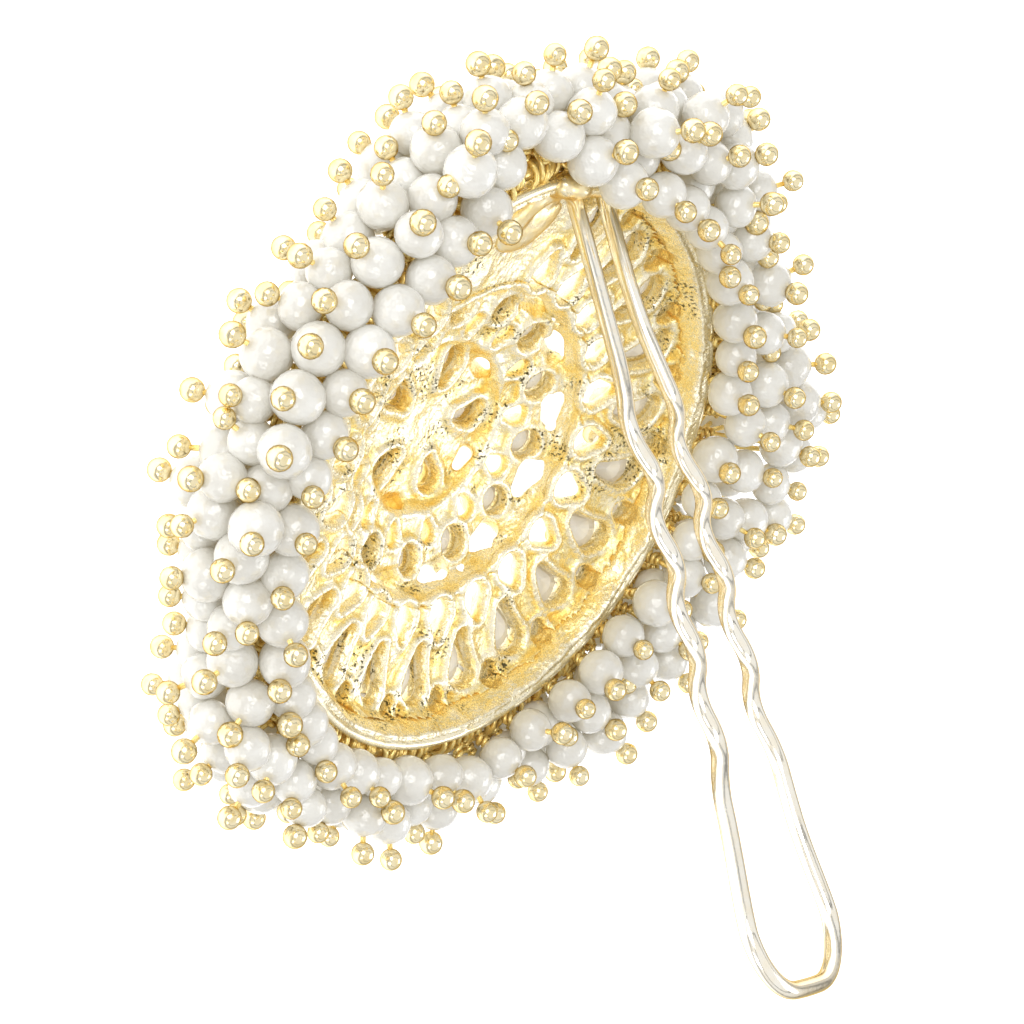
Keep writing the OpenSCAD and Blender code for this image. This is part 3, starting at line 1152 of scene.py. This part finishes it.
        # Openings without a stone flare a little to the hair side and more to the face side.
        for one in openings:
            if not one.setting.stone:
                flare = 0.4 * np.clip(one.out + 0.3, 0.0, 0.9) + 0.9 * np.clip(-one.out - 0.6, 0.0, 1.3)
                hole = np.maximum(one.hair - flare, np.abs(one.out) - self.cut_depth)
                self.grid.cut(one.block, hole, self.edge_blend)
        # A thin bezel stands round each stone on the face side.
        for one in settings:
            bezel = np.maximum(np.abs(one.seat - 0.22) - 0.24, np.abs(one.out + 1.75) - 0.75)
            self.grid.fuse(one.block, bezel, 0.15)
        # The seat is cut from the face side, and a smaller opening leads on to the hair side.
        for one in settings:
            deep = np.abs(one.out) - self.cut_depth
            self.grid.cut(one.block, np.maximum(one.seat, np.maximum(one.out + 1.0, deep)), 0.1)
            if not one.setting.blind:
                flare = 0.35 * np.clip(one.out + 0.4, 0.0, 0.9)
                self.grid.cut(one.block, np.maximum(one.hair - flare, deep), self.edge_blend)

    def cut_windows(self, rng: np.random.Generator) -> None:
        """Cuts the slanted windows low in the two step walls.

        Args:
            rng: where the small differences between windows come from.
        """
        ways = self.piercing
        middle = ways.ring(ways.middle_start, ways.middle_count, half=True)
        hub = ways.ring(ways.hub_start, ways.hub_count, half=True)
        rows = (
            Window(Tier.MIDDLE, 13.75, Drop(0.95, 0.6, 2.1, 0.0), middle),
            Window(Tier.HUB, 7.6, Drop(0.75, 0.55, 1.3, 0.0), hub),
        )
        slope = math.radians(90 + self.window_slope)
        for row in rows:
            tilt = self.profile.tilt(row.tier)
            for azimuth in row.azimuths:
                shape = row.drop.grown(float(rng.uniform(-0.1, 0.08)))
                block, (along, across, out) = self.local(row.tier, row.at, azimuth, 4.6)
                flat = along * math.cos(tilt) - out * math.sin(tilt)
                up = along * math.sin(tilt) + out * math.cos(tilt)
                way = flat * math.sin(slope) + up * math.cos(slope)
                cross = flat * math.cos(slope) - up * math.sin(slope)
                hole = np.maximum(shape.distance(across, cross), np.abs(way - 1.3) - 2.5)
                self.grid.cut(block, hole, 0.2)

    def marks(self, points: Array, fields: tuple[Array, Array, Array]) -> dict[str, Array]:
        """Returns what the cast metal's material reads at each point.

        Args:
            points: the points.
            fields: the softened field, its clusters of painted dark reflections and its slope upwards, on the
                grid.

        Returns:
            How pale each point is, with painted highlight on ridges and the lip and painted shade in hollows
            and on steep walls; how much painted dark reflection it gets; and how granular it is.
        """
        bulge, cluster, ups = [self.grid.sample(values, points) for values in fields]
        radius = np.hypot(points[:, 0], points[:, 1])
        lip = radius > self.lip_r
        # Painted light: ridges and the lip are made pale as painted highlight, and hollows and steep walls
        # darker amber as painted shade.
        painted_light_and_tone = np.where(lip, 0.92, 0.78 + 2.2 * bulge - 0.5 * (1 - np.clip(ups, -1, 1) ** 2))
        return {
            "painted_light_and_tone": np.clip(painted_light_and_tone, 0, 1),
            # Clusters of dark specks, painted reflections of dark surroundings, kept inside a radius.
            "painted_dark_reflection": np.clip((cluster - 0.6) * 1.9, 0, 1) * (radius < self.dark_reflection_r),
            "grain": np.where(lip, 0.15, 1.0),
        }

    def dress(self) -> list[bpy.types.Object]:
        """Builds the casting's three closed pieces.

        Returns:
            The pieces, from the middle outwards.
        """
        rng = np.random.default_rng(self.seed)
        self.shell()
        self.pierce(rng)
        self.cut_windows(rng)
        inside = self.radii() - self.tier_seam
        outside = self.skirt_seam - self.radii()
        parts = {
            "casting_inner_tiers": inside,
            "casting_outer_tier": np.maximum(-inside, -outside),
            "casting_skirt_and_lip": outside,
        }
        values = self.grid.values
        fields = (
            self.grid.blurred(3),
            self.grid.waves(1.5, self.dark_reflection_seed),
            np.gradient(values, self.step, axis=2),
        )
        pieces = []
        for name, limit in parts.items():
            shape = self.grid.surface(np.maximum(values, limit))
            marks = self.marks(shape[0], fields)
            pieces.append(add_mesh(name, shape, self.finishes.casting, marks))
        return pieces


@dataclass
class Stones(Assembly):
    """The cut stones, each with a table on the face side and a low point on the hair side.

    Each ring of a stone is a share of its outline and a height above the back of the tier.
    """

    profile: DomeProfile
    piercing: Piercing
    ledge: float = 0.35
    rings: tuple[tuple[float, float], ...] = (
        (0.62, -0.8),
        (0.86, -0.55),
        (1.0, -0.1),
        (1.0, 0.2),
        (0.6, 0.85),
    )
    point_up: float = 1.25

    def one(self, setting: Setting, azimuth: float) -> Shape:
        """Returns the points and faces of one stone.

        Args:
            setting: the setting that holds it.
            azimuth: where it is, in degrees.

        Returns:
            The stone's points and faces.
        """
        outline = setting.drop.outline(self.ledge)
        n = len(outline)
        back = self.profile.tier_t
        rings = [np.column_stack([outline * share, np.full(n, up - back)]) for share, up in self.rings]
        points = np.vstack([*rings, (0.0, 0.0, self.point_up - back)])
        at = setting.drop.at
        a = self.profile.tilt(setting.tier)
        axes = np.array([[math.cos(a), 0, math.sin(a)], [0, 1, 0], [-math.sin(a), 0, math.cos(a)]])
        points = points @ axes + (at, 0.0, self.profile.height(setting.tier, at))
        tip = len(rings) * n
        faces = [list(range(n))[::-1], *bands(len(rings), n)]
        faces += [[tip - n + i, tip - n + (i + 1) % n, tip] for i in range(n)]
        return points @ turned(azimuth).T, faces

    def dress(self) -> list[bpy.types.Object]:
        """Builds one piece for each tier's stones.

        Returns:
            The pieces, from the rim inwards.
        """
        pieces = []
        for tier in Tier:
            settings = [one for one in self.piercing.settings() if one.tier is tier and one.stone]
            stones = joined([self.one(setting, a) for setting in settings for a in setting.azimuths])
            piece = add_mesh(f"{tier.value}_crystals", stones, self.finishes.stone, smooth=False)
            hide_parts(f"{tier.value}_stones")
            pieces.append(piece)
        return pieces


@dataclass
class Hairpin(Assembly):
    """The wavy wire hairpin with its two short soldered arms."""

    wire_r: float = 0.725
    wire_sides: int = 20
    rise: float = 45.0
    lean: float = 3.3
    length: float = 68.2
    bow_half_w: float = 7.8
    bow_r: float = 5.7
    bow_skew: float = 0.9
    bow_steps: int = 6
    wave_h: float = 1.0
    wave_fade: float = 0.4
    wave_l: float = 7.5
    wave_start: float = 22.2
    wave_count: int = 4
    flare_w: float = 1.1
    flare_l: float = 3.6
    bend_l: float = 1.8
    root: Point = (-5.0, 23.7, -2.0)
    left_start: tuple[tuple[float, float], ...] = ((-2.9, 0.0), (-2.9, 10.0), (-3.0, 17.5))
    left_half_w: Point = (2.8, 4.7, 6.2)
    left_arm: tuple[Point, ...] = ((-10.2, 18.8, -4.0), (-10.3, 21.0, -3.1), (-9.2, 22.7, -2.5))
    right_start: tuple[tuple[float, float], ...] = ((3.0, -1.5), (3.0, 10.0), (4.7, 15.2), (6.0, 18.7))
    right_half_w: Point = (5.1, 5.1, 6.3)
    right_arm: tuple[Point, ...] = ((-8.2, 22.0, -3.6), (-6.6, 24.0, -3.0), (-4.4, 25.0, -3.1))

    def from_plane(self, x: float, y: float) -> Point:
        """Returns a point of the hairpin's own plane in the part's frame.

        Args:
            x: the place across the hairpin.
            y: the place along it, from the solder.

        Returns:
            The point in millimetres.
        """
        lean, rise = math.radians(self.lean), math.radians(self.rise)
        across = x * math.cos(lean) + y * math.sin(lean)
        along = -x * math.sin(lean) + y * math.cos(lean)
        way = (across, -along * math.cos(rise), along * math.sin(rise))
        return tuple(a + b for a, b in zip(self.root, way))

    def leg(self, side: int, start: tuple[tuple[float, float], ...], half_w: Point) -> list[Point]:
        """Returns the corners of one leg, from the solder to the closed end.

        Args:
            side: -1 for the left leg and 1 for the right one.
            start: its first corners in the plane.
            half_w: half the width at the first wave, at the last wave and past the flare.

        Returns:
            The corners in millimetres.
        """
        flat = [start[0], (start[0][0], start[0][1] + self.bend_l), *start[1:]]
        last = 2 * self.wave_count - 1
        for i in range(last + 1):
            share = i / last
            height = 2 * self.wave_h * (1 - self.wave_fade * share)
            shift = -height if i % 2 == 0 else height
            x = side * (half_w[0] + share * (half_w[1] - half_w[0])) + shift
            flat.append((x, self.wave_start + i * self.wave_l / 2))
        flare = self.wave_start + self.wave_count * self.wave_l
        flat += [(side * (half_w[1] + self.flare_w), flare), (side * half_w[2], flare + self.flare_l)]
        for i in range(self.bow_steps + 1):
            a = math.radians(90 * i / self.bow_steps)
            x = side * (self.bow_half_w - self.bow_r + self.bow_r * math.cos(a))
            y = self.length - self.bow_r + self.bow_r * math.sin(a)
            flat.append((x, y - self.bow_skew * x / self.bow_half_w))
        return [self.from_plane(*p) for p in flat]

    def dress(self) -> list[bpy.types.Object]:
        """Builds the wire as one closed tube.

        Returns:
            The hairpin.
        """
        left = self.leg(-1, self.left_start, self.left_half_w)
        right = self.leg(1, self.right_start, self.right_half_w)
        corners = np.array([*self.left_arm, *left, *right[::-1], *self.right_arm[::-1]])
        wire = tube(rounded(corners, 3), self.wire_r, self.wire_sides)
        return [add_mesh("hairpin", wire, self.finishes.hairpin)]


@dataclass
class SolderPad(Assembly):
    """The smooth flattened pad of solder that the arms run into, with the solder over the lip.

    Each of the arms is a start, an end and a radius.
    """

    profile: DomeProfile
    middle: Point = (-8.5, 19.3, -3.9)
    half_l: float = 3.6
    half_w: float = 2.1
    half_h: float = 0.75
    widening: float = 0.07
    softness: float = 0.8
    azimuth: float = 229.9
    low: Point = (-13.6, 14.8, -5.6)
    high: Point = (-2.4, 26.8, 1.4)
    step: float = 0.14
    blend: float = 0.4
    swell: float = 0.03
    seed: int = 5
    arms: tuple[tuple[Point, Point, float], ...] = (
        ((-10.2, 19.2, -3.9), (-10.3, 21.2, -3.1), 0.85),
        ((-10.3, 21.2, -3.1), (-9.0, 22.9, -2.6), 0.86),
        ((-9.0, 22.9, -2.6), (-7.6, 23.7, -2.3), 0.8),
        ((-8.2, 22.0, -3.6), (-6.6, 24.0, -3.2), 0.8),
        ((-6.6, 24.0, -3.2), (-4.4, 25.0, -3.3), 0.75),
        ((-8.0, 23.3, -3.0), (-6.4, 24.4, -3.4), 0.8),
        ((-9.3, 22.9, -2.3), (-11.2, 23.5, -0.2), 0.85),
        ((-11.2, 23.5, -0.2), (-9.9, 23.9, 0.15), 0.85),
        ((-9.9, 23.9, 0.15), (-7.4, 24.7, 0.15), 0.75),
        ((-7.4, 24.7, 0.15), (-5.6, 24.7, -0.8), 0.75),
        ((-9.9, 23.9, 0.15), (-8.0, 23.3, -1.6), 0.8),
    )

    def pad(self, places: list[Array]) -> Array:
        """Returns the distance from the flattened pad, which follows the slope of the tier.

        Args:
            places: the samples' coordinates.

        Returns:
            The distance, negative inside the pad.
        """
        a = math.radians(self.azimuth)
        dx, dy, dz = [p - m for p, m in zip(places, self.middle)]
        dz = dz - dy * math.tan(self.profile.tilt(Tier.OUTER))
        along = dx * math.cos(a) + dy * math.sin(a)
        across = -dx * math.sin(a) + dy * math.cos(a)
        width = self.half_w * (1 + self.widening * along)
        out = np.sqrt((along / self.half_l) ** 2 + (across / width) ** 2 + (dz / self.half_h) ** 2)
        return (out - 1) * self.softness

    def dress(self) -> list[bpy.types.Object]:
        """Builds the pad and the solder round the arms.

        Returns:
            The pad.
        """
        grid = Field(self.low, self.high, self.step)
        places = grid.places((slice(None),) * 3)
        values = self.pad(places)
        for start, end, radius in self.arms:
            way = np.subtract(end, start)
            steps = [p - s for p, s in zip(places, start)]
            t = np.clip(sum(s * w for s, w in zip(steps, way)) / (way @ way), 0, 1)
            gap = np.sqrt(sum((s - t * w) ** 2 for s, w in zip(steps, way)))
            values = soft_min(values, gap - radius, self.blend)
        grid.values = (values + self.swell * grid.waves(1.4, self.seed)).astype(np.float32)
        return [add_mesh("solder_pad", grid.surface(grid.values), self.finishes.solder)]


@dataclass
class Fringe(Assembly):
    """The bushy fringe: pearls on ball-head pins that hook on to a bundle of wire loops.

    Each row is a rise in degrees round the ring, a count of pearls and a reach from the ring. The
    short row that leans over the lip is a first and a last azimuth and a count. The unevenness of
    the pearls is a few waves, as heights and counts.
    """

    ring_r: float = 27.4
    ring_drop: float = 2.0
    core_r: float = 0.8
    pearl_r: float = 2.1
    ball_r: float = 1.02
    wire_r: float = 0.25
    loop_r: float = 1.2
    loop_gap: float = 0.35
    loop_steps: int = 13
    wound_r: float = 0.42
    wound_turns: float = 2.4
    wound_steps: int = 15
    gap: float = 4.2
    rows: tuple[tuple[float, int, float], ...] = (
        (-78.0, 34, 8.0),
        (-52.0, 40, 7.2),
        (-26.0, 43, 6.9),
        (0.0, 44, 6.9),
        (26.0, 43, 7.0),
        (50.0, 42, 6.4),
        (80.0, 40, 4.4),
    )
    over: tuple[float, float, int] = (-34.0, 100.0, 13)
    lean_at: tuple[float, ...] = (
        0, 18, 45, 65, 85, 112, 140, 158, 175, 195, 215, 240, 265, 300, 325, 345, 360,
    )
    lean_by: tuple[float, ...] = (
        2.4, 6.0, -1.8, -1.4, 0.3, -2.6, -0.4, -3.8, -2.4, -1.4, -3.5, 0.2, -2.0, -2.2, 0.8, 0.4, 2.4,
    )
    back_azimuth: float = 0.6
    solder_azimuth: float = 127.0
    solder_spread: float = 12.0
    near_azimuth: float = 275.0
    near_spread: float = 38.0
    unevenness: tuple[tuple[float, float], ...] = ((0.022, 1.6), (0.012, 3.4), (0.006, 7.0))
    rounds: int = 90
    front_below: float = -4.0
    seed: int = 7
    pin_seed: int = 19
    middles: Array = field(init=False)
    hooks: Array = field(init=False)
    sizes: Array = field(init=False)
    slack: Array = field(init=False)
    tips: Array = field(init=False)
    frames: Array = field(init=False)
    rng: np.random.Generator = field(init=False)

    def start(self, rng: np.random.Generator) -> Array:
        """Returns where the pearls stand before they are pushed apart.

        Args:
            rng: where the jostling comes from.

        Returns:
            The pearls' middles.
        """
        state = []
        for k, (rise, count, reach) in enumerate(self.rows):
            for i in range(count):
                a = 360.0 * (i + 0.5 * (k % 2)) / count + rng.uniform(-3.5, 3.5)
                state.append((a, rise + rng.uniform(-13, 13), reach + rng.uniform(-1.2, 0.8)))
        first, last, count = self.over
        for a in np.linspace(first, last, count):
            state.append((a + rng.uniform(-4, 4), 103 + rng.uniform(-3, 9), 5.2 + rng.uniform(-0.4, 0.8)))
        # The photo shows the pearls crowded to one side, and the top rows leaning back there.
        azimuth, rise, reach = np.array(state).T
        azimuth = np.radians(azimuth)
        azimuth = azimuth - 0.15 * np.sin(azimuth)
        round_z = np.stack([np.cos(azimuth), np.sin(azimuth), np.zeros(len(azimuth))], axis=1)
        top = rise > 66
        reach = reach + self.lean(azimuth) * np.where(top, 0.2, 1.0)
        rise = rise + np.where(top & (rise < 100), 8 + 16 * np.cos(azimuth - self.back_azimuth), 0)
        up = np.radians(rise)[:, None]
        out = round_z * np.cos(up) + (0, 0, 1) * np.sin(up)
        return round_z * self.ring_r + out * reach[:, None] - (0, 0, self.ring_drop)

    def scatter(self) -> None:
        """Sets out the pearls in jostled rows and pushes them apart, though not until all are clear."""
        rng = np.random.default_rng(self.seed)
        middles = self.start(rng)
        self.sizes = rng.uniform(0.9, 1.05, len(middles))
        self.slack = rng.uniform(0.0, 1.0, len(middles)) ** 2 * 2.2
        need = self.gap * 0.5 * (self.sizes[:, None] + self.sizes[None])
        for _ in range(self.rounds):
            apart = middles[:, None] - middles[None]
            far = np.linalg.norm(apart, axis=2) + 1e-6
            np.fill_diagonal(far, 99)
            push = np.clip(need - far, 0, None) * 0.5
            middles = middles + (apart / far[..., None] * push[..., None]).sum(axis=1) * 0.7
            middles = self.held(middles)
        self.middles = middles
        self.hooks = self.on_ring(middles)
        over = need - np.linalg.norm(middles[:, None] - middles[None], axis=2) - 99 * np.eye(len(middles))
        pairs = (over > 0).sum() // 2
        LOG.info("pearls: %d, %d pairs overlap, the deepest by %.2f mm", len(over), pairs, over.max())

    def on_ring(self, middles: Array) -> Array:
        """Returns the place on the ring of loops that is next to each pearl.

        Args:
            middles: the pearls' middles.

        Returns:
            One point of the ring for each pearl.
        """
        ring = middles * (self.ring_r / np.hypot(middles[:, 0], middles[:, 1]))[:, None]
        ring[:, 2] = -self.ring_drop
        return ring

    def lean(self, azimuth: Array) -> Array:
        """Returns how much further than the usual reach the fringe goes at azimuths in radians."""
        return np.interp(np.degrees(azimuth) % 360, self.lean_at, self.lean_by)

    def held(self, middles: Array) -> Array:
        """Returns the pearls' middles kept within reach of the ring, off the floor and off the lip.

        Args:
            middles: the pearls' middles.

        Returns:
            The middles, moved where they have to be.
        """
        flat = np.hypot(middles[:, 0], middles[:, 1])
        ring = self.on_ring(middles)
        arm = middles - ring
        reach = np.linalg.norm(arm, axis=1)
        rise = np.degrees(np.arctan2(arm[:, 2], flat - self.ring_r))
        azimuth = np.arctan2(middles[:, 1], middles[:, 0])
        degrees = np.degrees(azimuth)
        solder = bump_at(degrees, self.solder_azimuth, self.solder_spread)
        near = bump_at(degrees % 360, self.near_azimuth, self.near_spread)
        back = np.cos(azimuth - self.back_azimuth)
        # The reach from the ring is limited by the rise, and by what the photo's outline shows.
        most = np.interp(rise, [-90, -75, -40, 0, 50, 75, 100], [8.6, 8.6, 8.4, 8.4, 8.4, 6.2, 5.6])
        most = most + (self.lean(azimuth) - self.slack) * np.interp(rise, [50, 80], [1.0, 0.1])
        least = np.interp(rise, [-90, 10, 50, 85, 110], [4.6, 4.6, 3.2, 3.3, 5.2]) + 1.5 * solder
        middles = ring + arm * (np.clip(reach, least, np.maximum(most, least)) / reach)[:, None]
        # The pearls stay above the heads that touch the floor, and below the outline in the photo.
        low = -RIM_HEIGHT + self.pearl_r * 2 + 0.3
        high = 2.7 + 1.0 * back - 2.6 * solder - 1.2 * near
        middles[:, 2] = np.maximum(np.minimum(middles[:, 2], high), low)
        # The lip, the skirt and the dome keep the pearls outside a radius that changes with height.
        flat = np.hypot(middles[:, 0], middles[:, 1])
        inner = np.where(middles[:, 2] > 2.1, 27.5 - 1.8 * back, np.where(middles[:, 2] > -3, 28.9, 27.6))
        middles[:, :2] *= (np.maximum(flat, inner) / flat)[:, None]
        return middles

    def aim(self) -> None:
        """Sets each pin's frame, with rows along it, beside it and square to both."""
        swing = self.rng.normal(0, 0.9, self.middles.shape)
        along = unit(self.middles - self.hooks + swing)
        tangent = unit(np.cross((0.0, 0.0, 1.0), self.hooks))
        beside = unit(np.cross(along, tangent))
        self.frames = np.stack([along, beside, np.cross(along, beside)], axis=1)

    def placed(self, local: Array, middles: Array, faces: list[list[int]]) -> Shape:
        """Returns one shape at each place as one mesh, turned into the pins' frames.

        Args:
            local: the points of each copy in its own frame, one sheet for each copy.
            middles: where the copies stand.
            faces: the faces of one copy.

        Returns:
            The points and faces of all copies.
        """
        world = np.einsum("nmi,nij->nmj", local, self.frames) + middles[:, None]
        return joined([(points, faces) for points in world])

    def pearls(self) -> list[bpy.types.Object]:
        """Builds the pearls as two pieces, each pearl a little uneven and dimpled at its drill hole.

        Returns:
            The two pieces.
        """
        shape, faces = ball(24, 13)
        n = len(self.middles)
        bumps = np.zeros((n, len(shape)))
        for size, pull in self.unevenness:
            ways = self.rng.normal(0, pull, (n, 3))
            bumps += size * np.sin(ways @ shape.T + self.rng.uniform(0, 6.3, (n, 1)))
        dimple = -0.05 * np.exp(-((1 - np.abs(shape[:, 0])) / 0.012))
        local = shape[None] * (1 + bumps + dimple)[..., None] * (self.pearl_r * self.sizes)[:, None, None]
        local[..., 0] *= self.rng.uniform(0.93, 1.0, (n, 1))
        points, rows = self.placed(local, self.middles, faces)
        shade = np.repeat(self.rng.uniform(0, 1, n), len(shape))
        upper = self.middles[:, 2] > self.front_below
        pieces = []
        for side, mask in (("back", upper), ("front", ~upper)):
            kept = np.repeat(mask, len(shape))
            some = (points[kept], rows[: mask.sum() * len(faces)])
            shades = {"shade": shade[kept]}
            piece = add_mesh(f"pearls_of_the_{side}", some, self.finishes.pearl, shades)
            node = f"pearls_{side}"
            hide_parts(node)
            pieces.append(piece)
        return pieces

    def heads(self) -> bpy.types.Object:
        """Builds the polished ball heads, each at the outer end of its pearl, some pressed into it.

        Returns:
            The heads as one piece.
        """
        shape, faces = ball(16, 10)
        n = len(self.middles)
        radii = self.ball_r * self.rng.uniform(0.9, 1.06, n)
        loose = self.pearl_r * self.sizes * 0.96 + radii * 0.86 + 0.7 * self.rng.uniform(0, 1, n) ** 2
        middles = self.middles + self.frames[:, 0] * loose[:, None]
        middles[:, 2] = np.maximum(middles[:, 2], -RIM_HEIGHT + radii + 0.05)
        self.tips = middles
        balls = self.placed(shape[None] * radii[:, None, None], middles, faces)
        return add_mesh("ball_heads", balls, self.finishes.heads)

    def wires(self) -> bpy.types.Object:
        """Builds each pin's wire: a loop round the bundle, wound turns, and a straight shank.

        Returns:
            The wires as one piece.
        """
        shapes = []
        a = np.linspace(self.loop_gap, FULL_TURN - self.loop_gap, self.loop_steps)[:, None]
        t = np.linspace(0, 1, self.wound_steps)[:, None]
        skew = np.linspace(-self.wire_r, self.wire_r, self.loop_steps)[:, None]
        spin = FULL_TURN * self.wound_turns * t
        for middle, hook, tip in zip(self.middles, self.hooks, self.tips):
            radial = unit(middle - hook)
            tangent = unit(np.cross((0.0, 0.0, 1.0), hook))
            tangent = unit(tangent + self.rng.normal(0, 0.25, 3))
            normal = unit(np.cross(radial, tangent))
            r = self.loop_r * self.rng.uniform(0.9, 1.15)
            slide = tangent * self.rng.uniform(-0.9, 0.9)
            loop = hook + slide + r * (np.cos(a) * radial + np.sin(a) * normal)
            loop = loop + tangent * skew
            stem = hook + slide * (1 - t) + radial * (r + 0.1 + 1.3 * t)
            coil = stem + self.wound_r * (np.cos(spin) * tangent + np.sin(spin) * normal)
            foot = hook + slide + radial * r * 0.9
            waist = hook + slide * 0.3 + radial * (r + 1.4)
            shapes.append(tube(np.vstack([loop, coil]), self.wire_r, 5))
            shapes.append(tube(np.array([foot, waist, middle, tip]), self.wire_r, 6))
        return add_mesh("pin_wires", joined(shapes), self.finishes.loops)

    def core(self, around: int = 180, across: int = 10) -> bpy.types.Object:
        """Builds the wire ring inside the loops.

        Args:
            around: how many steps it has round the rim.
            across: how many sides the wire has.

        Returns:
            The ring.
        """
        a = np.arange(around) * FULL_TURN / around
        b = np.arange(across) * FULL_TURN / across
        r = self.ring_r + self.core_r * np.cos(b)
        z = np.broadcast_to(self.core_r * np.sin(b) - self.ring_drop, (around, across))
        points = np.stack([np.outer(np.cos(a), r), np.outer(np.sin(a), r), z], axis=-1).reshape(-1, 3)
        faces = [[i % len(points) for i in face] for face in flipped(bands(around + 1, across))]
        return add_mesh("loop_core", (points, faces), self.finishes.loops)

    def dress(self) -> list[bpy.types.Object]:
        """Builds the whole fringe.

        Returns:
            The pieces.
        """
        self.scatter()
        self.rng = np.random.default_rng(self.pin_seed)
        self.aim()
        pieces = self.pearls()
        heads = self.heads()
        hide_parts("ball_head_pins")
        return [*pieces, heads, self.wires(), self.core()]


@dataclass(frozen=True)
class Lamp:
    """A soft square lamp, as its name, its place and side in metres, and its power in watts."""

    name: str
    place: Point
    side: float
    power: float


@dataclass
class Studio(Assembly):
    """Pale floor, soft white light and the camera of the photograph.

    The sky is a list of heights, from 0 at the bottom to 1 at the top, and their brightness.
    """

    turn: Point = (-2.48983, -0.510611, -1.310712)
    shift: Point = (0.2521, -3.4834, 265.1249)
    focal_px: float = 3105.644
    image_px: int = 1024
    sensor_mm: float = 36.0
    clip: tuple[float, float] = (0.01, 20.0)
    floor_half: float = 3.0
    lamps_aim: Point = (0.0, 0.0, 0.02)
    sky_strength: float = 0.88
    sky: tuple[tuple[float, float], ...] = (
        (0.0, 0.9),
        (0.585, 0.85),
        (0.61, 0.25),
        (0.63, 0.25),
        (0.65, 0.95),
        (0.82, 1.0),
        (0.835, 0.2),
        (0.85, 0.2),
        (0.865, 1.0),
        (1.0, 1.0),
    )
    lamps: tuple[Lamp, ...] = (
        Lamp("key", (-0.44, 0.19, 0.30), 0.32, 0.9),
        Lamp("fill", (-0.34, -0.34, 0.30), 0.20, 0.3),
        Lamp("back", (0.35, 0.05, 0.40), 0.25, 0.5),
    )
    exposure: float = 0.07

    def add_camera(self) -> None:
        """Sets the camera where the photograph was taken from."""
        turn = Vector(self.turn)
        rows = Matrix.Rotation(turn.length, 3, turn.normalized())
        place = -(rows.transposed() @ Vector(self.shift))
        data = bpy.data.cameras.new("camera")
        data.sensor_width = self.sensor_mm
        data.lens = self.focal_px / self.image_px * self.sensor_mm
        data.clip_start, data.clip_end = self.clip
        camera = bpy.data.objects.new("camera", data)
        columns = Matrix((rows[0], -rows[1], -rows[2])).transposed()
        camera.matrix_world = Matrix.Translation(to_metres(np.array(place))) @ columns.to_4x4()
        bpy.context.scene.collection.objects.link(camera)
        bpy.context.scene.camera = camera

    def add_floor(self) -> None:
        """Lays the floor under the part."""
        mesh = bpy.data.meshes.new("floor")
        s = self.floor_half
        mesh.from_pydata([(-s, -s, 0), (s, -s, 0), (s, s, 0), (-s, s, 0)], [], [(0, 1, 2, 3)])
        mesh.materials.append(self.finishes.floor)
        floor = bpy.data.objects.new("floor", mesh)
        bpy.context.scene.collection.objects.link(floor)

    def add_sky(self) -> None:
        """Sets a white sky with a few darker bands for polished metal to reflect."""
        world = bpy.data.worlds.new("studio")
        world.use_nodes = True
        tree = world.node_tree
        background = tree.nodes["Background"]
        place = tree.nodes.new("ShaderNodeTexCoord")
        parts = tree.nodes.new("ShaderNodeSeparateXYZ")
        ramp = tree.nodes.new("ShaderNodeValToRGB")
        height = tree.nodes.new("ShaderNodeMapRange")
        height.inputs["From Min"].default_value = -1.0
        tree.links.new(place.outputs["Generated"], parts.inputs[0])
        tree.links.new(parts.outputs["Z"], height.inputs["Value"])
        tree.links.new(height.outputs[0], ramp.inputs["Fac"])
        tree.links.new(ramp.outputs["Color"], background.inputs["Color"])
        set_stops(ramp, [(position, (level, level, level)) for position, level in self.sky])
        background.inputs["Strength"].default_value = self.sky_strength
        bpy.context.scene.world = world

    def add_lamp(self, lamp: Lamp) -> None:
        """Adds a lamp that points at the part.

        Args:
            lamp: the lamp.
        """
        data = bpy.data.lights.new(lamp.name, "AREA")
        data.size = lamp.side
        data.energy = lamp.power
        light = bpy.data.objects.new(lamp.name, data)
        light.location = lamp.place
        way = Vector(self.lamps_aim) - Vector(lamp.place)
        light.rotation_euler = way.to_track_quat("-Z", "Y").to_euler()
        bpy.context.scene.collection.objects.link(light)

    def dress(self) -> None:
        """Sets up everything that isn't part of the object."""
        self.add_camera()
        self.add_floor()
        self.add_sky()
        for lamp in self.lamps:
            self.add_lamp(lamp)
        view = bpy.context.scene.view_settings
        view.view_transform = "Standard"
        view.exposure = self.exposure


def main() -> None:
    """Builds every assembly in order."""
    logging.basicConfig(level=logging.INFO, format="%(message)s")
    finishes = Finishes()
    profile, piercing = DomeProfile(), Piercing()
    Studio(finishes).dress()
    casting = Casting(finishes, profile, piercing).dress()
    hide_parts("casting_and_hairpin")
    pieces = [*casting]
    for assembly in (
        SolderPad(finishes, profile),
        Hairpin(finishes),
        Stones(finishes, profile, piercing),
        Fringe(finishes),
    ):
        pieces += assembly.dress()
    LOG.info("%d pieces", len(pieces))


if __name__ == "__main__":
    main()
